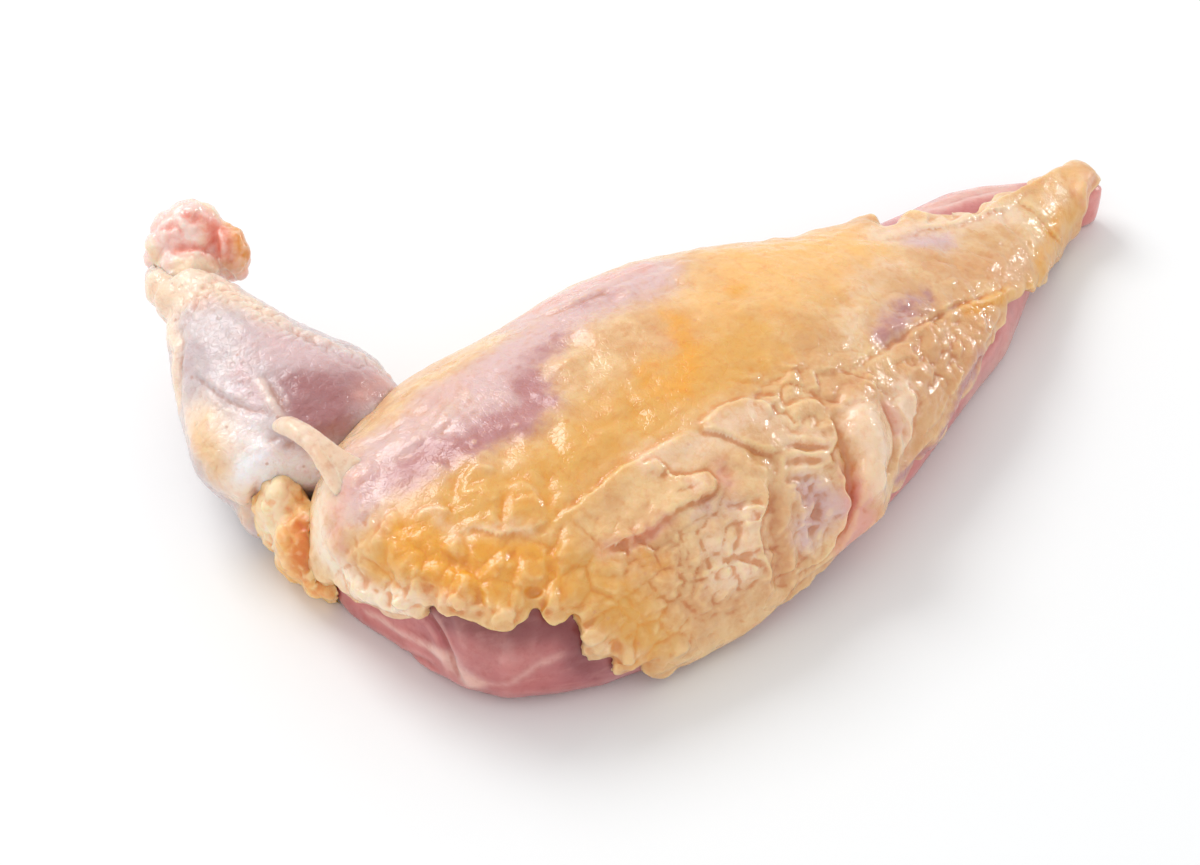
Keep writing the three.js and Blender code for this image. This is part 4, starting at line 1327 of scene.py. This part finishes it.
wing = worked_piece("wing_joint", "wing_skin", 0.4, 1.6, WING_FOLDS, WING_PATCHES, wing_finish,
                    {"creased": 0.5}, touches=("breast_skin", "knuckle"),
                    lobe_size=2.6, lobe_height=0.4, crease_size=4.5, crease_depth=0.35,
                    grain_size=1.4, grain_height=0.09, seed=8)

# %% [markdown]
# ## The knuckle, the lump of fat and the strap
# The knuckle is the joint end: pink gristle in a whorl, with reddish spots, cream fat between the
# lumps and an amber lobe on one side. The lump of fat in the notch between wing and breast is cobbled
# and orange, deepened by painted shade where it turns into the shade of the notch. The strap of sinew
# is smooth and cream, a little yellower at its breast end, where it is pressed into the skin.

# %% Knuckle
KNUCKLE_FOLDS = [
    ("whorl 1", [(186, 212), (192, 220), (200, 216)], 0.7, -0.5),
    ("whorl 2", [(160, 230), (175, 226), (184, 232)], 0.7, -0.5),
    ("top lump", [(192, 203)], 2.0, 0.5),
    ("red lump", [(218, 238)], 2.6, 0.5),
    ("left lump", [(165, 245)], 2.6, 0.5),
    ("amber lump 1", [(238, 232)], 1.8, 0.5),
    ("amber lump 2", [(243, 258)], 2.2, 0.6),
    ("cream lump", [(205, 262)], 2.2, 0.4),
    ("nub", [(222, 255), (224, 262)], 1.0, 0.5),
    ("roll", [(215, 268), (235, 272), (243, 281)], 1.4, 0.5),
    ("roll gap", [(205, 275), (225, 272), (238, 283)], 0.7, -0.5),
    ("gristle seam", [(180, 250), (195, 246), (210, 250)], 0.7, -0.4),
    ("amber gap", [(228, 225), (232, 245), (228, 270)], 0.8, -0.6),
]
KNUCKLE_PATCHES = {
    "cream": [
        ("top", [(200, 202), (215, 210), (228, 220)], 1.6, 0.8),
        ("low", [(180, 268), (205, 266), (225, 270)], 2.6, 0.8),
        ("left", [(150, 250), (155, 262)], 1.8, 0.9),
        ("middle", [(204, 225), (203, 240)], 1.2, 0.6),
    ],
    "rose": [
        ("red lump", [(215, 230), (222, 245)], 2.6, 1.0),
        ("whorl", [(186, 214), (200, 218)], 1.5, 0.6),
        ("left whorl", [(160, 230), (178, 228)], 1.4, 0.4),
        ("seam", [(180, 250), (198, 248)], 1.3, 0.7),
    ],
    "amber": [
        ("side", [(236, 228), (242, 245), (243, 266)], 2.0, 1.0),
        ("low", [(225, 262)], 1.4, 0.4),
        ("spot", [(183, 286)], 1.4, 0.8),
    ],
}
knuckle_finish = tissue(
    "gristle",
    base=paint(254, 222, 213), second=paint(250, 206, 196),
    layers=[
        ("cream", paint(250, 222, 190), 2.0, 0.6),
        ("rose", paint(233, 140, 118), 1.6, 0.7),
        ("amber", paint(228, 152, 62), 2.0, 0.6),
    ],
    # crease is painted shade in the hollows, crest a painted highlight on the ridges
    crease=(paint(250, 204, 186), 0.6), crest=(paint(255, 240, 230), 0.4),
    grain={"Size": 0.6, "Cell size": 1.0, "Cells": 0.3, "Pit size": 2.0, "Pits": 0.0},
    gloss=(0.35, 0.7, 0.1, 0.05), depth_mm=2.4, blush=(1.0, 0.45, 0.3), mottle_mm=3.0)
knuckle = worked_piece("knuckle", "knuckle_gristle", 0.32, 0.9, KNUCKLE_FOLDS, KNUCKLE_PATCHES,
                       knuckle_finish, {"lobed": 1.0, "creased": 0.4},
                       lobe_size=4.2, lobe_height=0.32, crease_size=3.6, crease_depth=0.15,
                       grain_size=1.2, grain_height=0.04, seed=12)

# %% Lump of fat
PAD_FOLDS = [
    ("top knob", [(270, 483), (285, 490)], 1.8, 0.6),
    ("knob gap", [(264, 497), (276, 503)], 0.7, -0.5),
    ("upper lump", [(268, 512)], 3.0, 0.5),
    ("notch", [(300, 520), (300, 545)], 2.2, -0.8),
    ("lower lump", [(310, 580)], 2.6, 0.5),
]
PAD_PATCHES = {
    "cream": [
        ("top", [(275, 490), (268, 515), (268, 535)], 3.6, 1.0),
        ("left", [(270, 545), (285, 565)], 1.6, 0.4),
    ],
    "amber": [
        # in the notch: the fat's orange, deepened as painted shade where it turns into the notch
        ("in the notch", [(303, 525), (308, 545), (304, 558)], 2.6, 1.0),
        ("low", [(300, 575), (325, 590)], 2.4, 0.4),
    ],
}
pad_finish = tissue(
    "lump of fat",
    base=paint(248, 198, 128), second=paint(242, 182, 100),
    layers=[
        ("cream", paint(255, 226, 190), 2.0, 0.7),
        ("amber", paint(226, 128, 34), 2.0, 0.8),
    ],
    # crease is painted shade in the hollows, crest a painted highlight on the ridges
    crease=(paint(248, 190, 120), 0.6), crest=(paint(254, 226, 180), 0.4),
    grain={"Size": 0.6, "Cell size": 1.0, "Cells": 0.3, "Pit size": 2.0, "Pits": 0.0},
    gloss=(0.42, 0.55, 0.14, 0.05), depth_mm=2.4, blush=(1.0, 0.45, 0.2), mottle_mm=4.0)
pad = worked_piece("fat_pad", "lump_of_fat", 0.35, 0.9, PAD_FOLDS, PAD_PATCHES, pad_finish,
                   {"lobed": 1.0, "creased": 0.3}, touches=("breast_skin", "wing_joint"),
                   lobe_size=3.3, lobe_height=0.38, crease_size=3.4, crease_depth=0.12,
                   grain_size=1.2, grain_height=0.04, seed=15)

# %% Strap of sinew
STRAP_FOLDS = [
    ("upper end", [(278, 420), (290, 430), (303, 439)], 2.0, 0.9),
    ("lower corner", [(332, 480), (340, 488)], 2.4, -1.8),
    ("middle", [(285, 424), (310, 442), (335, 460)], 1.2, 0.3),
    ("groove", [(292, 436), (312, 452)], 0.5, -0.2),
]
STRAP_PATCHES = {
    "yellow": [("breast end", [(325, 455), (342, 466)], 2.6, 0.7)],
    "rose": [("wing end", [(276, 420)], 1.6, 0.3)],
}
strap_finish = tissue(
    "sinew",
    base=paint(242, 218, 194), second=paint(236, 206, 178),
    layers=[
        ("yellow", paint(238, 192, 140), 2.0, 0.5),
        ("rose", paint(232, 190, 170), 2.0, 0.5),
    ],
    # crease is painted shade in the hollows, crest a painted highlight on the ridges
    crease=(paint(225, 170, 130), 0.7), crest=(paint(252, 234, 212), 0.3),
    grain={"Size": 0.8, "Cell size": 1.2, "Cells": 0.15, "Pit size": 3.0, "Pits": 0.2},
    gloss=(0.36, 0.6, 0.14, 0.03), depth_mm=1.8, blush=(1.0, 0.55, 0.35), mottle_mm=3.0)
strap = worked_piece("sinew", "sinew_strap", 0.25, 0.9, STRAP_FOLDS, STRAP_PATCHES, strap_finish,
                     {"lobed": 0.0, "creased": 0.3}, touches=("breast_skin", "wing_joint"),
                     sunk=(((347, 480), 6.5, 4.2), ((270, 415), 3.0, 0.8)),
                     crease_size=4.0, crease_depth=0.15, grain_size=1.0, grain_height=0.04, seed=18)

# %% [markdown]
# ## The pieces on their body
# Each worked piece rides on the supreme's one body and stands in for its plain solid, which is hidden.

# %% Ride and replace
for piece, node in ((skin, "breast_skin"), (meat, "breast_flesh"), (wing, "wing_joint"),
                    (knuckle, "knuckle"), (pad, "fat_pad"), (strap, "sinew")):
    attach(piece, "root")
    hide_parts(node)
